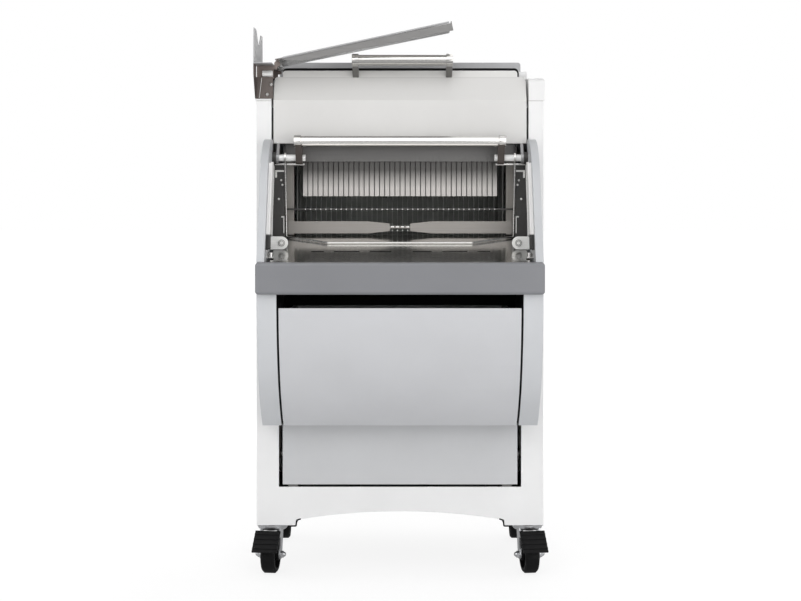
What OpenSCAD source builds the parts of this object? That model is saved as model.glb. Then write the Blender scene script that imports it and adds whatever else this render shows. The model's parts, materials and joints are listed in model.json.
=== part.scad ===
// Bread slicer machine on casters.
// Millimetres, +Z up, the front faces -Y, origin on the floor under the middle of the machine.

/* [Body] */
// Width over the two side panels
body_w = 610; // [570:5:680]
// Depth from the body's front plane to its rear
body_d = 470; // [440:5:540]
// How far the bumper bar stands in front of the body's front plane
nose_d = 250; // [235:5:270]
// Height of the side panels above the base's bottom edge
column_h = 903; // [890:1:940]
// Height of the caps on the side panels
cap_h = 48; // [40:1:60]
// How far the caps stand out over the side panels
cap_over = 2.5; // [1:0.5:4]
// Width of the upright columns seen from the front
column_w = 31.5; // [30:0.5:33]
// Thickness of the sheet steel
sheet = 2; // [1.5:0.5:2.5]

/* [Base] */
// Height of the base's bottom edge above the floor, which the casters fill
caster_h = 106; // [102:1:112]
// Width of the base front beside its opening
base_side = 47.5; // [44:0.5:52]
// Height of the sill under that opening
sill_h = 82; // [76:1:88]
// Distance of the arch's ends from the body's sides
arch_side = 85; // [80:5:110]
// Rise of the arch at its ends
arch_step = 12; // [8:1:16]
// Further rise of the arch at its middle
arch_rise = 18; // [12:1:24]
// Height of the base front's legs above the base's bottom edge
base_front_h = 290; // [270:5:320]

/* [Cheeks and bumper] */
// Distance from the side panels in to the cheeks' outer faces
cheek_inset = 19; // [17:1:22]
// Thickness of the cheeks beside the loaf chamber
cheek_t = 16; // [14:1:17]
// Thickness of the cheeks beside the drawer
cheek_low_t = 40; // [38:0.5:41]
// Height of the cheeks' lower ends above the base's bottom edge
cheek_bottom = 223; // [214:1:232]
// Height of the cheeks' tops above the base's bottom edge
cheek_top = 820; // [812:1:830]
// Lean of the cheeks' front edges above the bumper, in degrees
cheek_lean = 27; // [25:1:29]
// Radius of the cheeks' upper corners
cheek_r = 150; // [130:5:160]
// Height of the bumper's lower edge above the base's bottom edge
bumper_z = 504; // [500:1:508]
// Height of the bumper's front face
bumper_h = 64; // [60:1:66]
// Depth of the bumper
bumper_d = 22; // [18:1:26]
// Rounding of the bumper's edges
bumper_r = 7; // [4:1:9]

/* [Hood] */
// Height of the hood's hinge axis above the base's bottom edge
hinge_z = 781; // [776:1:786]
// Distance of the hood's hinge axis in front of the body's front plane
hinge_fwd = 15; // [12:1:18]
// Height of the hood's lower edge over the hinge axis
hood_clear = 31; // [28:1:34]
// Height of the hood's upright front plate
hood_h = 92; // [86:1:94]
// Height of the hood's leaning upper plate
hood_up = 66; // [60:1:70]
// How far the upper plate leans back
hood_back = 44; // [38:1:46]
// Side gap between the hood and the cheeks
hood_gap = 1; // [1:0.5:3]
// Height of the narrower rim along the hood's top
rim_h = 14; // [11:1:18]
// Diameter of the grab handle's tube
grab_dia = 23; // [20:1:25]
// Length of the grab handle over its posts
grab_w = 213; // [180:1:230]
// Width of the grab handle's posts
grab_post = 13; // [10:1:18]
// Diameter of the lower handle's tube
handle_dia = 23; // [20:1:25]
// Distance of the lower handle's ends from the hood's sides
handle_side = 46; // [42:1:52]
// Diameter of the pivot shafts
pivot_dia = 14; // [11:1:15]

/* [Blades] */
// Distance between blades, which is the slice thickness
pitch = 11; // [10.6:0.1:11.1]
// Least distance of the outer blades from the body's sides
blade_side = 88; // [84:0.5:96]
// Depth of a blade
blade_d = 12; // [11:0.5:12]
// Thickness of a blade
blade_t = 0.8; // [0.6:0.1:1]
// Length of one wave of a blade's toothed edge
tooth = 9; // [7:0.5:12]
// Stroke of the blade frames to each side of their middle
stroke = 15; // [12:1:16]
// Height of a frame's beams
beam_h = 28; // [24:1:30]

/* [Drawer and table] */
// Height of the drawer front's upper edge under the bumper
finger_gap = 28; // [25:1:32]
// Side gap between the drawer front and the cheeks
drawer_gap = 4; // [2:0.5:5]
// Thickness of the drawer front
drawer_t = 3; // [2:0.5:4]
// How far the bin reaches behind the body's front plane
bin_back = 225; // [200:5:240]
// Rise of the loaf table from its front edge to the blades
table_rise = 54; // [50:1:58]
// Diameter of the bail's wire
wire_dia = 4; // [3.5:0.5:4]

/* [Scoop] */
// Length of the scoop tray along its slope
tray_l = 380; // [340:2:390]
// Depth of the scoop tray from front to rear
tray_d = 205; // [190:5:245]
// Slope of the tray, in degrees
tray_tilt = 11.5; // [10:0.5:13]
// Height of the tray's turned-up rear and end edges
tray_lip = 4; // [3:1:8]
// Height of the fork plate's prongs above the hinge pin
prong_h = 72; // [60:1:76]

/* [Casters] */
// Diameter of the wheels
wheel_dia = 80; // [76:1:84]
// Width of the wheels' treads
wheel_w = 30; // [26:1:31]
// Distance of a wheel's axle in front of its swivel axis
trail = 20; // [16:1:24]
// How far the front casters are turned outwards, in degrees
toe = 8; // [0:1:12]

/* [Hidden] */
$fn = 48;

// Cuts run this far past the faces they open
over = 1;
// Gap between pieces of different bodies that pass each other
gap = 0.4;
// Radial clearance of a running fit
run = 0.05;

// Main planes of the body
half_w = body_w / 2;
y_rear = (body_d + nose_d) / 2;
y_face = y_rear - body_d;
y_nose = y_face - nose_d;
z_base = caster_h;
z_seam = z_base + column_h;
z_cap = z_seam + cap_h;
skin_x = half_w - sheet;

// Columns: their inner edges, and the returns that stiffen them
column_x = half_w - column_w;
column_lip = 25;
rear_return = 20;
front_t = 3;
open_x = half_w - base_side;
arch_w = body_w - 2 * arch_side;

// Base frame: rails, and the plate that carries the drive
rail_w = 40;
rail_h = 40;
rail_wall = 3;
plate_t = 3;
z_plate = z_base + rail_h + plate_t;
back_in = 18;
y_back = y_rear - back_in;

// Cheeks, with the belly of the drawer front
cheek_x1 = half_w - cheek_inset;
cheek_x0 = cheek_x1 - cheek_t;
cheek_low_x0 = cheek_x1 - cheek_low_t;
z_cheek0 = z_base + cheek_bottom;
z_cheek1 = z_base + cheek_top;
z_bar0 = z_base + bumper_z;
z_bar1 = z_bar0 + bumper_h;
y_bar = y_nose + bumper_d;
belly_in = 20;
chin_d = 78;
y_belly = y_nose + belly_in;
y_chin = y_face - chin_d;
belly_run = y_chin - y_belly;
belly_drop = z_bar0 - z_cheek0;
belly_r = (belly_run * belly_run + belly_drop * belly_drop) / (2 * belly_run);
belly_a = asin(belly_drop / belly_r);
brow_in = 15;
y_brow = y_nose + brow_in;
corner_z = z_cheek1 - cheek_r;
corner_y = y_brow + (cheek_r + (corner_z - z_bar1) * sin(cheek_lean)) / cos(cheek_lean);
trim_w = 6;
trim_t = 10;
trim_step = 5;
trim_back = 3;
trim_more = 36;

// Hood, its hinge axis and its handles
y_h = y_face - hinge_fwd;
z_h = z_base + hinge_z;
z_hood0 = z_h + hood_clear;
z_crease = z_hood0 + hood_h;
z_hood1 = z_crease + hood_up;
y_hood1 = y_face + hood_back;
hood_x = cheek_x0 - hood_gap;
z_brim = z_hood1 - rim_h;
rim_in = 17;
rim_x = hood_x - rim_in;
rim_corner = 6;
brim_r = 8;
handle_w = 2 * (hood_x - handle_side);
hood_wall = 20;
hood_lip = 10;
pivot_r = pivot_dia / 2;
pivot_plate_t = 8;
pivot_plate_r = 13;
pivot_x1 = cheek_x0 - gap;
pivot_end = 23;
bolt_l = 6;
pivot_x0 = handle_w / 2 - pivot_end;
grab_r = grab_dia / 2;
grab_in = 5;
grab_up = 18;
grab_off = 5;
y_grab = y_h + grab_in;
z_grab = z_hood1 + grab_up;
post_r = grab_r + sheet;
handle_r = handle_dia / 2;
handle_cap_w = 15;
cap_lip = 2;
handle_cap_r = handle_r + cap_lip;
handle_fwd = 23;
handle_up = 34;
y_handle = y_h - handle_fwd;
z_handle = z_h + handle_up;
bracket_w = 14;
bracket_x0 = pivot_x0 + bolt_l;
bracket_wall = 7;
bracket_r = pivot_r + bracket_wall;
arm_w = 6;
arm_wall = 4;
arm_x1 = cheek_x0 - pivot_plate_t - gap;
arm_r = pivot_r + arm_wall;

// Blade planes, from front to rear
blades_in = 71;
blade_share = 0.5;
y_mid = y_face + blades_in;
frame_gap = 1;
y_a1 = y_mid - frame_gap;
y_a0 = y_a1 - blade_d;
y_b0 = y_mid + frame_gap;
y_b1 = y_b0 + blade_d;
blade_n = 2 * floor((half_w - blade_side) / pitch + blade_share);
blades_x = (blade_n - 1) / 2 * pitch;

// Blade frames and their guides
post_w = 16;
post_gap = 14.5;
post_x0 = blades_x + post_gap;
guide_web = 19;
beam_x = skin_x - guide_web;
low_beam = 54;
high_beam = 53;
z_low = z_bar1 - low_beam;
z_high = z_h + high_beam;
guide_grip = 8;
guide_x0 = beam_x - guide_grip;
guide_wall = 6;
guide_over = 15;
guide_run = stroke + guide_over;

// Loaf table and what stands over it
table_gap = 8;
table_x = cheek_x0 - table_gap;
table_back = 4;
y_t0 = y_bar;
y_t1 = y_a0 - table_back;
table_sink = 6;
z_t0 = z_bar1 - table_sink;
z_t1 = z_t0 + table_rise;
liner_x = post_x0 + post_w + frame_gap;
function table_z(y) = z_t0 + (y - y_t0) * table_rise / (y_t1 - y_t0);
function under_z(y) = z_t1 - sheet - (y_t1 - y) * table_rise / (y_t1 - y_t0 - sheet);

// Drawer: bin behind the curved front, on runners
drawer_x = cheek_low_x0 - drawer_gap;
rim_w = 10.5;
bin_x = drawer_x - rim_w;
bin_in = 8;
bin_up = 16;
bin_under = 22;
y_bin0 = y_chin + bin_in;
y_bin1 = y_face + bin_back;
z_bin0 = z_cheek0 + bin_up;
z_front1 = z_bar0 - finger_gap;
z_bin1 = z_front1 - bin_under;

// Drive under the drawer
crank_up = 102;
z_crank = z_plate + crank_up;
crank_r = 12.5;
disc_r = 30;
disc_w = 10;
disc_x0 = bin_x + disc_w;
pin_r = 7;
pin_l = 6;
rod_w = 8;
rod_x0 = disc_x0 + disc_w + pin_l;
eye_r = 11;
crank_pulley_r = 52;
motor_pulley_r = 28;
belt_w = 24;
belt_t = 6;
bearing_in = 46;
bearing_x = bin_x - bearing_in;
belt_in = 82;
belt_x0 = bearing_x - belt_in;
motor_r = 70;
motor_l = 200;
motor_gap = 18;
motor_in = 300;
motor_up = 8;
motor_x1 = belt_x0 - motor_gap;
y_motor = y_face + motor_in;
z_motor = z_plate + motor_r + motor_up;
shaft_r = 12;
shaft_in = 30;

// Top of the machine
shoulder_gap = 4;
shoulder_x = rim_x + shoulder_gap;
y_shoulder = y_hood1 + shoulder_gap;
shoulder_up = 17;
lid_in = 210;
lid_up = 31;
lid_r = 6;
y_lid = y_face + lid_in;
z_lid = z_hood1 + lid_up;
lid_x = hood_x + sheet;
lid_ear = 6;
lid_pin_r = 4;
lid_lobe_r = 5;
y_lid_pin = y_back + lid_pin_r;
z_lid_pin = z_cap + lid_lobe_r + gap;

// Scoop: its hinge pin runs from front to rear over the left cap
scoop_in = 7;
scoop_up = 12;
scoop_x = scoop_in - hood_x;
z_scoop = z_hood1 + scoop_up;
scoop_pin_r = 4;
knuckle_r = 6.5;
tray_fwd = 41;
y_tray0 = y_face - tray_fwd;
tray_t = 1.5;
lug_in = 10;
lug_span = 140;
y_lug0 = y_face + lug_in;
y_lug1 = y_lug0 + lug_span;
lug_t = 4;
lug_h = 12;
fork_x = -(half_w + cap_over);
fork_fwd = 56;
fork_d = 224;
notch_in = 108;
y_fork0 = y_face - fork_fwd;
y_fork1 = y_fork0 + fork_d;
notch_y = y_fork0 + notch_in;

// Casters
wheel_r = wheel_dia / 2;
caster_in = 31;
rear_caster_in = 31;
swivel_in = 46;
rear_axle_in = 50;
fork_gap = 4;
caster_x = half_w - caster_in;
rear_caster_x = half_w - rear_caster_in;
y_swivel = y_face + swivel_in;
y_rear_axle = y_back - rear_axle_in;
fork_in = wheel_w / 2 + fork_gap;
fork_t = 4;
axle_r = 5;
crown_r = 32;
crown_h = 12;
caster_plate_t = 3;
king_r = 6;
z_crown1 = z_base - caster_plate_t - gap;
z_crown0 = z_crown1 - crown_h;
pedal_t = 4;
pedal_pin_r = 3;
pedal_ear_r = 6;
pedal_fwd = 38;
pedal_low = 6.6;
z_pedal = z_crown0 - pedal_low;

// Rear panel: louvres and the cord gland
louvre_n = 8;
louvre_w = 200;
louvre_h = 8;
louvre_pitch = 22;
louvre_up = 60;
z_louvre = z_plate + louvre_up;
gland_in = 105;
gland_x = half_w - gland_in;
gland_up = 40;
z_gland = z_plate + gland_up;
gland_r = 9;
gland_nut = 11;
gland_flat = 3;
cord_r = 5.2;

// Small sizes of the top pieces
cap_r = 10;
cap_corner = 7;
top_in = 21;
lid_ear_r = 9;
top_gap = 12;
top_drop = 8;
top_foot = 12;

// Small sizes of the front pieces
trim_in = 16;
trim_up = 30;
bumper_over = 1;
panel_gap = 8;
panel_low = 5;
stud_w = 20;
stud_in = 12;
stud_h = 120;
panel_x = open_x - panel_gap;
stud_x = panel_x - stud_in;

// Small sizes of the loaf chamber
table_lip = 26;
slot_fwd = 105;
y_slot = y_face - slot_fwd;
slot_w = 8;
slot_shares = [[-0.7, -0.6], [-0.52, -0.32], [-0.24, -0.07], [0.1, 0.25], [0.33, 0.53], [0.61, 0.71]];
liner_in = 6;
y_liner = y_face + liner_in;
liner_top = 6;
clamp_fwd = 88;
y_clamp = y_face - clamp_fwd;
clamp_h = 27;
clamp_l = 38;
screw_r = 6;
screw_h = 2.5;
latch_fwd = 176;
y_latch = y_face - latch_fwd;
latch_w = 14;
latch_d = 10;
latch_h = 22;
knob_r = 4.5;
knob_h = 9;
beam_in = 26;
y_beam = y_face + beam_in;
beam_d = 8;
beam_under = 7;
comb_low = 81;
comb_slot = 2;
guide_in = 44;
y_guide = y_face + guide_in;
guide_bar_d = 4;
bar_h = 4;
buttons_low = 109;
z_buttons = z_h - buttons_low;
button_r = 1.6;
button_h = 2;
guard_up = 4;
guard_h = 26;
guard_t = 3;
guard_taper = 69;
guard_tip = 22;
guard_in = 20;
guard_x = liner_x - guard_in;
guard_post = 15;
post_corner = 5;
tip_share = 0.31;
tooth_n = 1;
bay_side = 10;
bay_in = 350;
tray_x = blades_x + bay_side;
y_bay = y_face + bay_in;
bay_h = 175;
bay_rail_in = 70;
bay_rail = 20;
bail_gap = 3;
bail_x = liner_x - bail_gap;
elbow_in = 91;
bail_in_x = bail_x - elbow_in;
bail_back = 25;
bail_fwd = 35;
bail_lift = 0.8;
ball = 0.2;

// Small sizes of the drive and the drawer
wave_shares = [[0.12, 0], [0, 0.25], [0, 0.5], [0.12, 0.75]];
flange_t = 3;
flange_h = 9;
bearing_w = 28;
bearing_r = 27;
bearing_foot = 45;
foot_h = 12;
bell_w = 24;
fin_h = 9;
fin_n = 24;
fin_t = 3;
saddle_share = 0.45;
belly_fn = 180;
runner_in = 5;
runner_t = 3;
runner_arm = 18;
apron_h = 130;

// Small sizes of the handles and the scoop
post_low_share = 0.76;
post_high_share = 0.97;
post_in_share = 0.6;
bracket_in = 4;
prong_in = 6;
notch_share = 0.55;
tray_in = 14;
tray_drop = 16;
tray_taper = 60;

// Small sizes of the casters
leg_w = 13;
leg_in = 10;
nut_share = 1.5;
hub_r = 13;
rim_r = 29;
web_share = 0.45;
shoulder_r = 4;
nut_dome = 5.5;
pedal_in = 7;
pedal_up = 8;
pedal_l = 54;
pedal_a = 223.5;
pedal_hw = 27;
pedal_web = 14;
rib_n = 4;
rib_h = 1.5;
rib_w = 3;
rib_in = 8;
rib_pitch = 12;
dome_r = 24;
dome_h = 7;
dome_n = 6;
leg_up = 5;

// Points along an arc about [cy, cz], between two angles
arc_n = 20;
function arc(c, r, a0, a1, n = arc_n) =
    [for (i = [0:n]) c + r * [cos(a0 + (a1 - a0) * i / n), sin(a0 + (a1 - a0) * i / n)]];

// Box between its lowest and its highest corner
module block(a, b) {
    translate(a) cube(b - a);
}

// Outline of [y, z] points, extruded along X
module along_x(x0, x1) {
    translate([x0, 0, 0]) rotate([90, 0, 90]) linear_extrude(x1 - x0) children();
}

// Outline of [x, z] points, extruded along Y
module along_y(y0, y1) {
    translate([0, y1, 0]) rotate([90, 0, 0]) linear_extrude(y1 - y0) children();
}

// Round bars along each axis
module bar_x(x0, x1, y, z, r) {
    translate([x0, y, z]) rotate([0, 90, 0]) cylinder(r = r, h = x1 - x0);
}
module bar_y(y0, y1, x, z, r) {
    translate([x, y0, z]) rotate([-90, 0, 0]) cylinder(r = r, h = y1 - y0);
}
module bar_z(z0, z1, x, y, r) {
    translate([x, y, z0]) cylinder(r = r, h = z1 - z0);
}

// The right-hand piece and its mirror image
module pair() {
    children();
    mirror([1, 0, 0]) children();
}

// Rectangle with rounded corners, between its lowest and its highest corner
module round_rect(a, b, r) {
    translate(a + [r, 0]) square([b[0] - a[0] - 2 * r, b[1] - a[1]]);
    translate(a + [0, r]) square([b[0] - a[0], b[1] - a[1] - 2 * r]);
    for (x = [a[0] + r, b[0] - r], y = [a[1] + r, b[1] - r]) translate([x, y]) circle(r);
}

// Straight strip of wire between two points, with a round joint at its start
module wire(a, b, r) {
    d = b - a;
    translate(a) {
        sphere(r + ball);
        rotate([0, acos(d[2] / norm(d)), atan2(d[1], d[0])]) cylinder(r = r, h = norm(d));
    }
}

// Body
module side_panel() {
    difference() {
        union() {
            block([skin_x, y_face, z_base], [half_w, y_rear, z_seam]);
            block([column_x, y_face, z_base], [half_w, y_face + sheet, z_seam]);
            block([column_x, y_face, z_base], [column_x + sheet, y_face + column_lip, z_seam]);
            block([half_w - rear_return, y_rear - sheet, z_base], [half_w, y_rear, z_seam]);
        }
        block([0, y_face - over, z_base - over],
              [half_w + over, y_face + front_t, z_base + base_front_h]);
        block([0, y_face - over, z_base - over],
              [skin_x, y_back + over, z_plate]);
    }
}

module side_panel_left() {
    color("white") mirror([1, 0, 0]) side_panel();
}

module side_panel_right() {
    color("white") side_panel();
}

module rear_panel() {
    color("whitesmoke") difference() {
        union() {
            block([-skin_x, y_back - sheet, z_plate], [skin_x, y_back, z_seam]);
            block([-shoulder_x, y_back - sheet, z_seam], [shoulder_x, y_back, z_cap]);
        }
        for (i = [0:louvre_n - 1])
            along_y(y_back - sheet - over, y_back + over)
                round_rect([-louvre_w / 2, z_louvre + i * louvre_pitch],
                           [louvre_w / 2, z_louvre + i * louvre_pitch + louvre_h], louvre_h / 2 - gap);
        bar_y(y_back - sheet - over, y_back + over, gland_x, z_gland, gland_r);
    }
}

// Rails, the plate on them and two studs for the service panel
module base_frame() {
    color("dimgray") {
        pair() difference() {
            block([skin_x - rail_w, y_face + front_t, z_base], [skin_x, y_back, z_base + rail_h]);
            block([skin_x - rail_w + rail_wall, y_face, z_base + rail_wall],
                  [skin_x - rail_wall, y_back + over, z_base + rail_h - rail_wall]);
        }
        block([-skin_x, y_face + front_t, z_base + rail_h], [skin_x, y_back, z_plate]);
        pair() block([stud_x - stud_w, y_face + front_t, z_plate],
                     [stud_x, y_face + front_t + rail_wall, z_plate + stud_h]);
    }
}

// Base front with its opening and the shallow arch under the sill
module base_front() {
    arch_r = (arch_w * arch_w / 4 + arch_rise * arch_rise) / (2 * arch_rise);
    arch_a = asin(arch_w / 2 / arch_r);
    z_arch = z_base + arch_step;
    color("white") along_y(y_face, y_face + front_t) difference() {
        translate([-half_w, z_base]) square([body_w, base_front_h]);
        translate([-open_x, z_base + sill_h]) square([2 * open_x, base_front_h]);
        polygon(concat([[arch_w / 2, z_base - over]],
                       arc([0, z_arch + arch_rise - arch_r], arch_r, 90 - arch_a, 90 + arch_a),
                       [[-arch_w / 2, z_base - over]]));
    }
}

// Caps over the columns, hollow underneath, each with an ear for the rear lid
module column_caps() {
    cap_x1 = half_w + cap_over;
    color("white") pair() {
        difference() {
            intersection() {
                along_x(column_x, cap_x1) cap_side(y_face - sheet, z_seam);
                along_y(y_face - sheet, y_rear)
                    round_rect([0, z_seam - cap_h], [cap_x1, z_cap], cap_corner);
            }
            along_x(column_x + sheet, cap_x1 - sheet) offset_side(y_face, z_seam);
        }
        difference() {
            along_x(shoulder_x, column_x) cap_side(y_shoulder, z_seam);
            along_x(shoulder_x + sheet, column_x) offset_side(y_shoulder + sheet, z_seam);
        }
        difference() {
            along_x(lid_x + gap, lid_x + gap + lid_ear) {
                translate([y_lid_pin, z_lid_pin]) circle(lid_ear_r);
                translate([y_lid_pin - lid_ear_r, z_cap]) square([2 * lid_ear_r, z_lid_pin - z_cap]);
            }
            bar_x(lid_x, lid_x + gap + lid_ear + over, y_lid_pin, z_lid_pin, lid_pin_r + run);
        }
    }
}

// Side outline of a cap, with its upper front corner rounded
module cap_side(y0, z0) {
    difference() {
        translate([y0, z0]) square([y_rear - y0, z_cap - z0]);
        translate([y0 - over, z_cap - cap_r]) square([cap_r + over, cap_r + over]);
    }
    translate([y0 + cap_r, z_cap - cap_r]) circle(cap_r);
}

// The hollow of that outline
module offset_side(y0, z0) {
    translate([y0, z0 - over]) square([y_rear - sheet - y0, z_cap - cap_r - z0 + over]);
}

// Low cover between the hood and the rear lid, raised at its right-hand end
module top_cover() {
    top_x = hood_x - top_in;
    y1 = y_lid - gap;
    color("white") {
        along_x(-top_x, shoulder_x) polygon([
            [y_hood1 + top_gap, z_hood1 - top_drop], [y1, z_hood1 + shoulder_gap],
            [y1, z_hood1 + shoulder_gap + sheet], [y_hood1 + top_gap, z_hood1 - top_drop + sheet]]);
        block([-top_x, y1 - sheet, z_seam], [top_x, y1, z_hood1 + shoulder_gap]);
        pair() block([top_x - sheet, y1 - sheet, z_cap], [skin_x, y1, z_cap + top_foot]);
        difference() {
            block([shoulder_x, y_shoulder, z_cap], [column_x, y1, z_cap + shoulder_up]);
            block([shoulder_x + sheet, y_shoulder + sheet, z_cap - over],
                  [column_x - sheet, y1 - sheet, z_cap + shoulder_up - sheet]);
        }
    }
}

// Front outline of the rear lid, open downwards, drawn in by a wall's thickness
module lid_outline(t, z0) {
    intersection() {
        round_rect([t - lid_x, z_seam], [lid_x - t, z_lid - t], lid_r - t);
        translate([-lid_x, z0]) square([2 * lid_x, z_lid - z0]);
    }
}

// Lid over the rear bread bay, hinged at its lower rear edge
module rear_lid() {
    color("darkgray") {
        difference() {
            along_y(y_lid, y_back) lid_outline(0, z_cap + gap);
            along_y(y_lid + sheet, y_back - sheet) lid_outline(sheet, z_cap - over);
        }
        pair() {
            along_x(lid_x - sheet, lid_x) {
                translate([y_lid_pin, z_lid_pin]) circle(lid_lobe_r);
                translate([y_back - sheet, z_lid_pin - lid_lobe_r])
                    square([y_lid_pin - y_back + sheet, 2 * lid_lobe_r]);
            }
            bar_x(lid_x - sheet, lid_x + gap + lid_ear, y_lid_pin, z_lid_pin, lid_pin_r);
        }
    }
}

// Side outline of a cheek: round top, leaning brow, seat for the bumper, round belly
module cheek_side() {
    intersection() {
        polygon(concat(
            [[y_face + nose_d, z_cheek0]],
            arc([y_belly + belly_r, z_bar0], belly_r, 180 + belly_a, 180),
            [[y_bar, z_bar0], [y_bar, z_bar1], [y_brow, z_bar1]],
            arc([corner_y, corner_z], cheek_r, 180 - cheek_lean, 90),
            [[y_face + nose_d, z_cheek1]]));
        translate([y_nose, z_cheek0]) square([nose_d, z_cheek1 - z_cheek0]);
    }
}

module cheek() {
    along_x(cheek_x0, cheek_x1) cheek_side();
    along_x(cheek_low_x0, cheek_x0) intersection() {
        cheek_side();
        translate([y_nose, z_cheek0]) square([nose_d, z_bar0 - z_cheek0]);
    }
}

module cheek_left() {
    color("lightsteelblue") mirror([1, 0, 0]) cheek();
}

module cheek_right() {
    color("lightsteelblue") cheek();
}

// Stepped strips on the cheeks' inner faces, along the leaning front edges
module cheek_trims() {
    run_l = (corner_z + cheek_r * sin(cheek_lean) - z_bar1) / cos(cheek_lean) + trim_more;
    color("gainsboro") pair() {
        along_x(cheek_x0 - trim_t, cheek_x0 - trim_step) trim_side(0, run_l);
        along_x(cheek_x0 - trim_step, cheek_x0) trim_side(trim_back, run_l);
    }
}

// Side outline of one step of a strip
module trim_side(back, run_l) {
    translate([y_brow + trim_in, z_bar1]) rotate(-cheek_lean)
        translate([back, trim_up]) square([trim_w - back / 2, run_l - trim_up]);
}

module bumper_bar() {
    bar_hw = cheek_x1 + bumper_over;
    color("gray") intersection() {
        along_x(-bar_hw, bar_hw) round_rect([y_nose, z_bar0], [y_bar, z_bar1], bumper_r);
        along_y(y_nose, y_bar) round_rect([-bar_hw, z_bar0], [bar_hw, z_bar1], bumper_r);
    }
}

// Flat service panel in the base opening
module lower_front_panel() {
    color("darkgray") block([-panel_x, y_face, z_base + sill_h + panel_low],
                            [panel_x, y_face + front_t, z_cheek0 - panel_gap]);
}

// Loaf chamber
module loaf_table() {
    color("silver") difference() {
        union() {
            along_x(-table_x, table_x) polygon([
                [y_t0, z_t0 - table_lip], [y_t0 + sheet, z_t0 - table_lip],
                [y_t0 + sheet, z_t0 - sheet], [y_t1, z_t1 - sheet], [y_t1, z_t1], [y_t0, z_t0]]);
        }
        for (s = slot_shares)
            translate([s[0] * table_x, y_slot - slot_w / 2, z_t0 - table_lip])
                cube([(s[1] - s[0]) * table_x, slot_w, table_lip + table_rise]);
    }
}

// Bent plates beside the blades: a face to the front, a wall to the rear, a ledge under the table
module liners() {
    z_top = z_h - pivot_plate_r - gap;
    z_foot = under_z(y_liner);
    color("dimgray") pair() {
        block([liner_x, y_liner, table_z(y_liner + sheet)], [column_x, y_liner + sheet, z_top]);
        block([table_x + gap, y_liner, z_foot - sheet], [column_x, y_liner + sheet, z_top]);
        block([liner_x, y_liner, z_t1], [liner_x + sheet, y_t1, z_hood0 - liner_top]);
        along_x(liner_x, column_x) polygon([
            [y_liner, z_foot - sheet], [y_t1, under_z(y_t1) - sheet],
            [y_t1, under_z(y_t1)], [y_liner, z_foot]]);
    }
}

// Bearing plates on the cheeks' inner faces, for the pivot shafts
module pivot_plates() {
    color("silver") pair() difference() {
        bar_x(cheek_x0 - pivot_plate_t, cheek_x0, y_h, z_h, pivot_plate_r);
        bar_x(cheek_x0 - pivot_plate_t - over, cheek_x0 + over, y_h, z_h, pivot_r + run);
    }
}

// Rounded clamp plates at the table's sides, with their screws
module table_clamps() {
    z0 = table_z(y_clamp) + gap;
    z1 = z0 + clamp_h;
    zm = (z0 + z1) / 2;
    xc = cheek_x0 - clamp_l + clamp_h / 2;
    color("gainsboro") pair() {
        along_y(y_clamp - sheet, y_clamp) {
            translate([xc, z0]) square([cheek_x0 - xc, clamp_h]);
            translate([xc, zm]) circle(clamp_h / 2);
        }
        bar_y(y_clamp - sheet - screw_h, y_clamp - sheet, xc, zm, screw_r);
    }
}

// Hooks that hold the lift-out table, each with a small knob
module table_latches() {
    zl = table_z(y_latch + latch_d);
    color("gainsboro") pair() {
        block([cheek_x0 - latch_w, y_latch, zl + gap],
              [cheek_x0, y_latch + latch_d, zl + gap + sheet]);
        block([cheek_x0 - sheet, y_latch, zl + gap + sheet],
              [cheek_x0, y_latch + latch_d, zl + latch_h]);
        bar_z(zl + gap + sheet, zl + gap + sheet + knob_h, cheek_x0 - latch_w / 2 - sheet / 2,
              y_latch + latch_d / 2, knob_r);
    }
}

module chamber_beam() {
    color("dimgray") block([-liner_x, y_beam, z_h - beam_under], [liner_x, y_beam + beam_d, z_hood0 - gap]);
}

// Slotted panel whose fingers hang between the blades' planes
module blade_comb() {
    z0 = z_h - comb_low;
    z1 = z_hood0 - liner_top;
    last = blade_n / 2 - 1;
    comb_x = last * pitch - comb_slot / 2;
    color("silver") along_y(y_beam + beam_d, y_beam + beam_d + sheet) difference() {
        translate([-comb_x, z0]) square([2 * comb_x, z1 - z0]);
        for (i = [1 - last:last - 1])
            translate([i * pitch - comb_slot / 2, z0 - over])
                square([comb_slot, z_h - beam_under - z0 + over]);
    }
}

// Bar across the blades with a round button at each blade
module blade_guide_bar() {
    color("dimgray") {
        block([-liner_x, y_guide, z_buttons - bar_h / 2], [liner_x, y_guide + guide_bar_d, z_buttons + bar_h / 2]);
        for (i = [0:blade_n - 1])
            bar_y(y_guide - button_h, y_guide, i * pitch - blades_x, z_buttons, button_r);
    }
}

// Two tapered guards on posts in front of the blades, with a short comb between their tips
module blade_guards() {
    z0 = z_t1 + guard_up;
    z1 = z0 + guard_h;
    zm = (z0 + z1) / 2;
    color("gray") {
        pair() {
            along_y(y_guide, y_guide + guard_t) polygon([
                [guard_x, z0], [guard_x, z1], [guard_taper, z1],
                [guard_tip, zm + guard_h * tip_share], [guard_tip, zm - guard_h * tip_share],
                [guard_taper, z0]]);
            along_y(y_guide, y_t1)
                round_rect([guard_x, z0 - sheet], [guard_x + guard_post, z1 + sheet], post_corner);
            block([guard_x + post_corner, y_guide + guard_t, z0], [liner_x, y_t1, z1]);
        }
        block([-guard_tip, y_guide, zm - bar_h / 2], [guard_tip, y_guide + guard_t, zm]);
        for (i = [-tooth_n:tooth_n])
            block([i * pitch - comb_slot / 2, y_guide, zm],
                  [i * pitch + comb_slot / 2, y_guide + guard_t, zm + bar_h]);
    }
}

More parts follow.
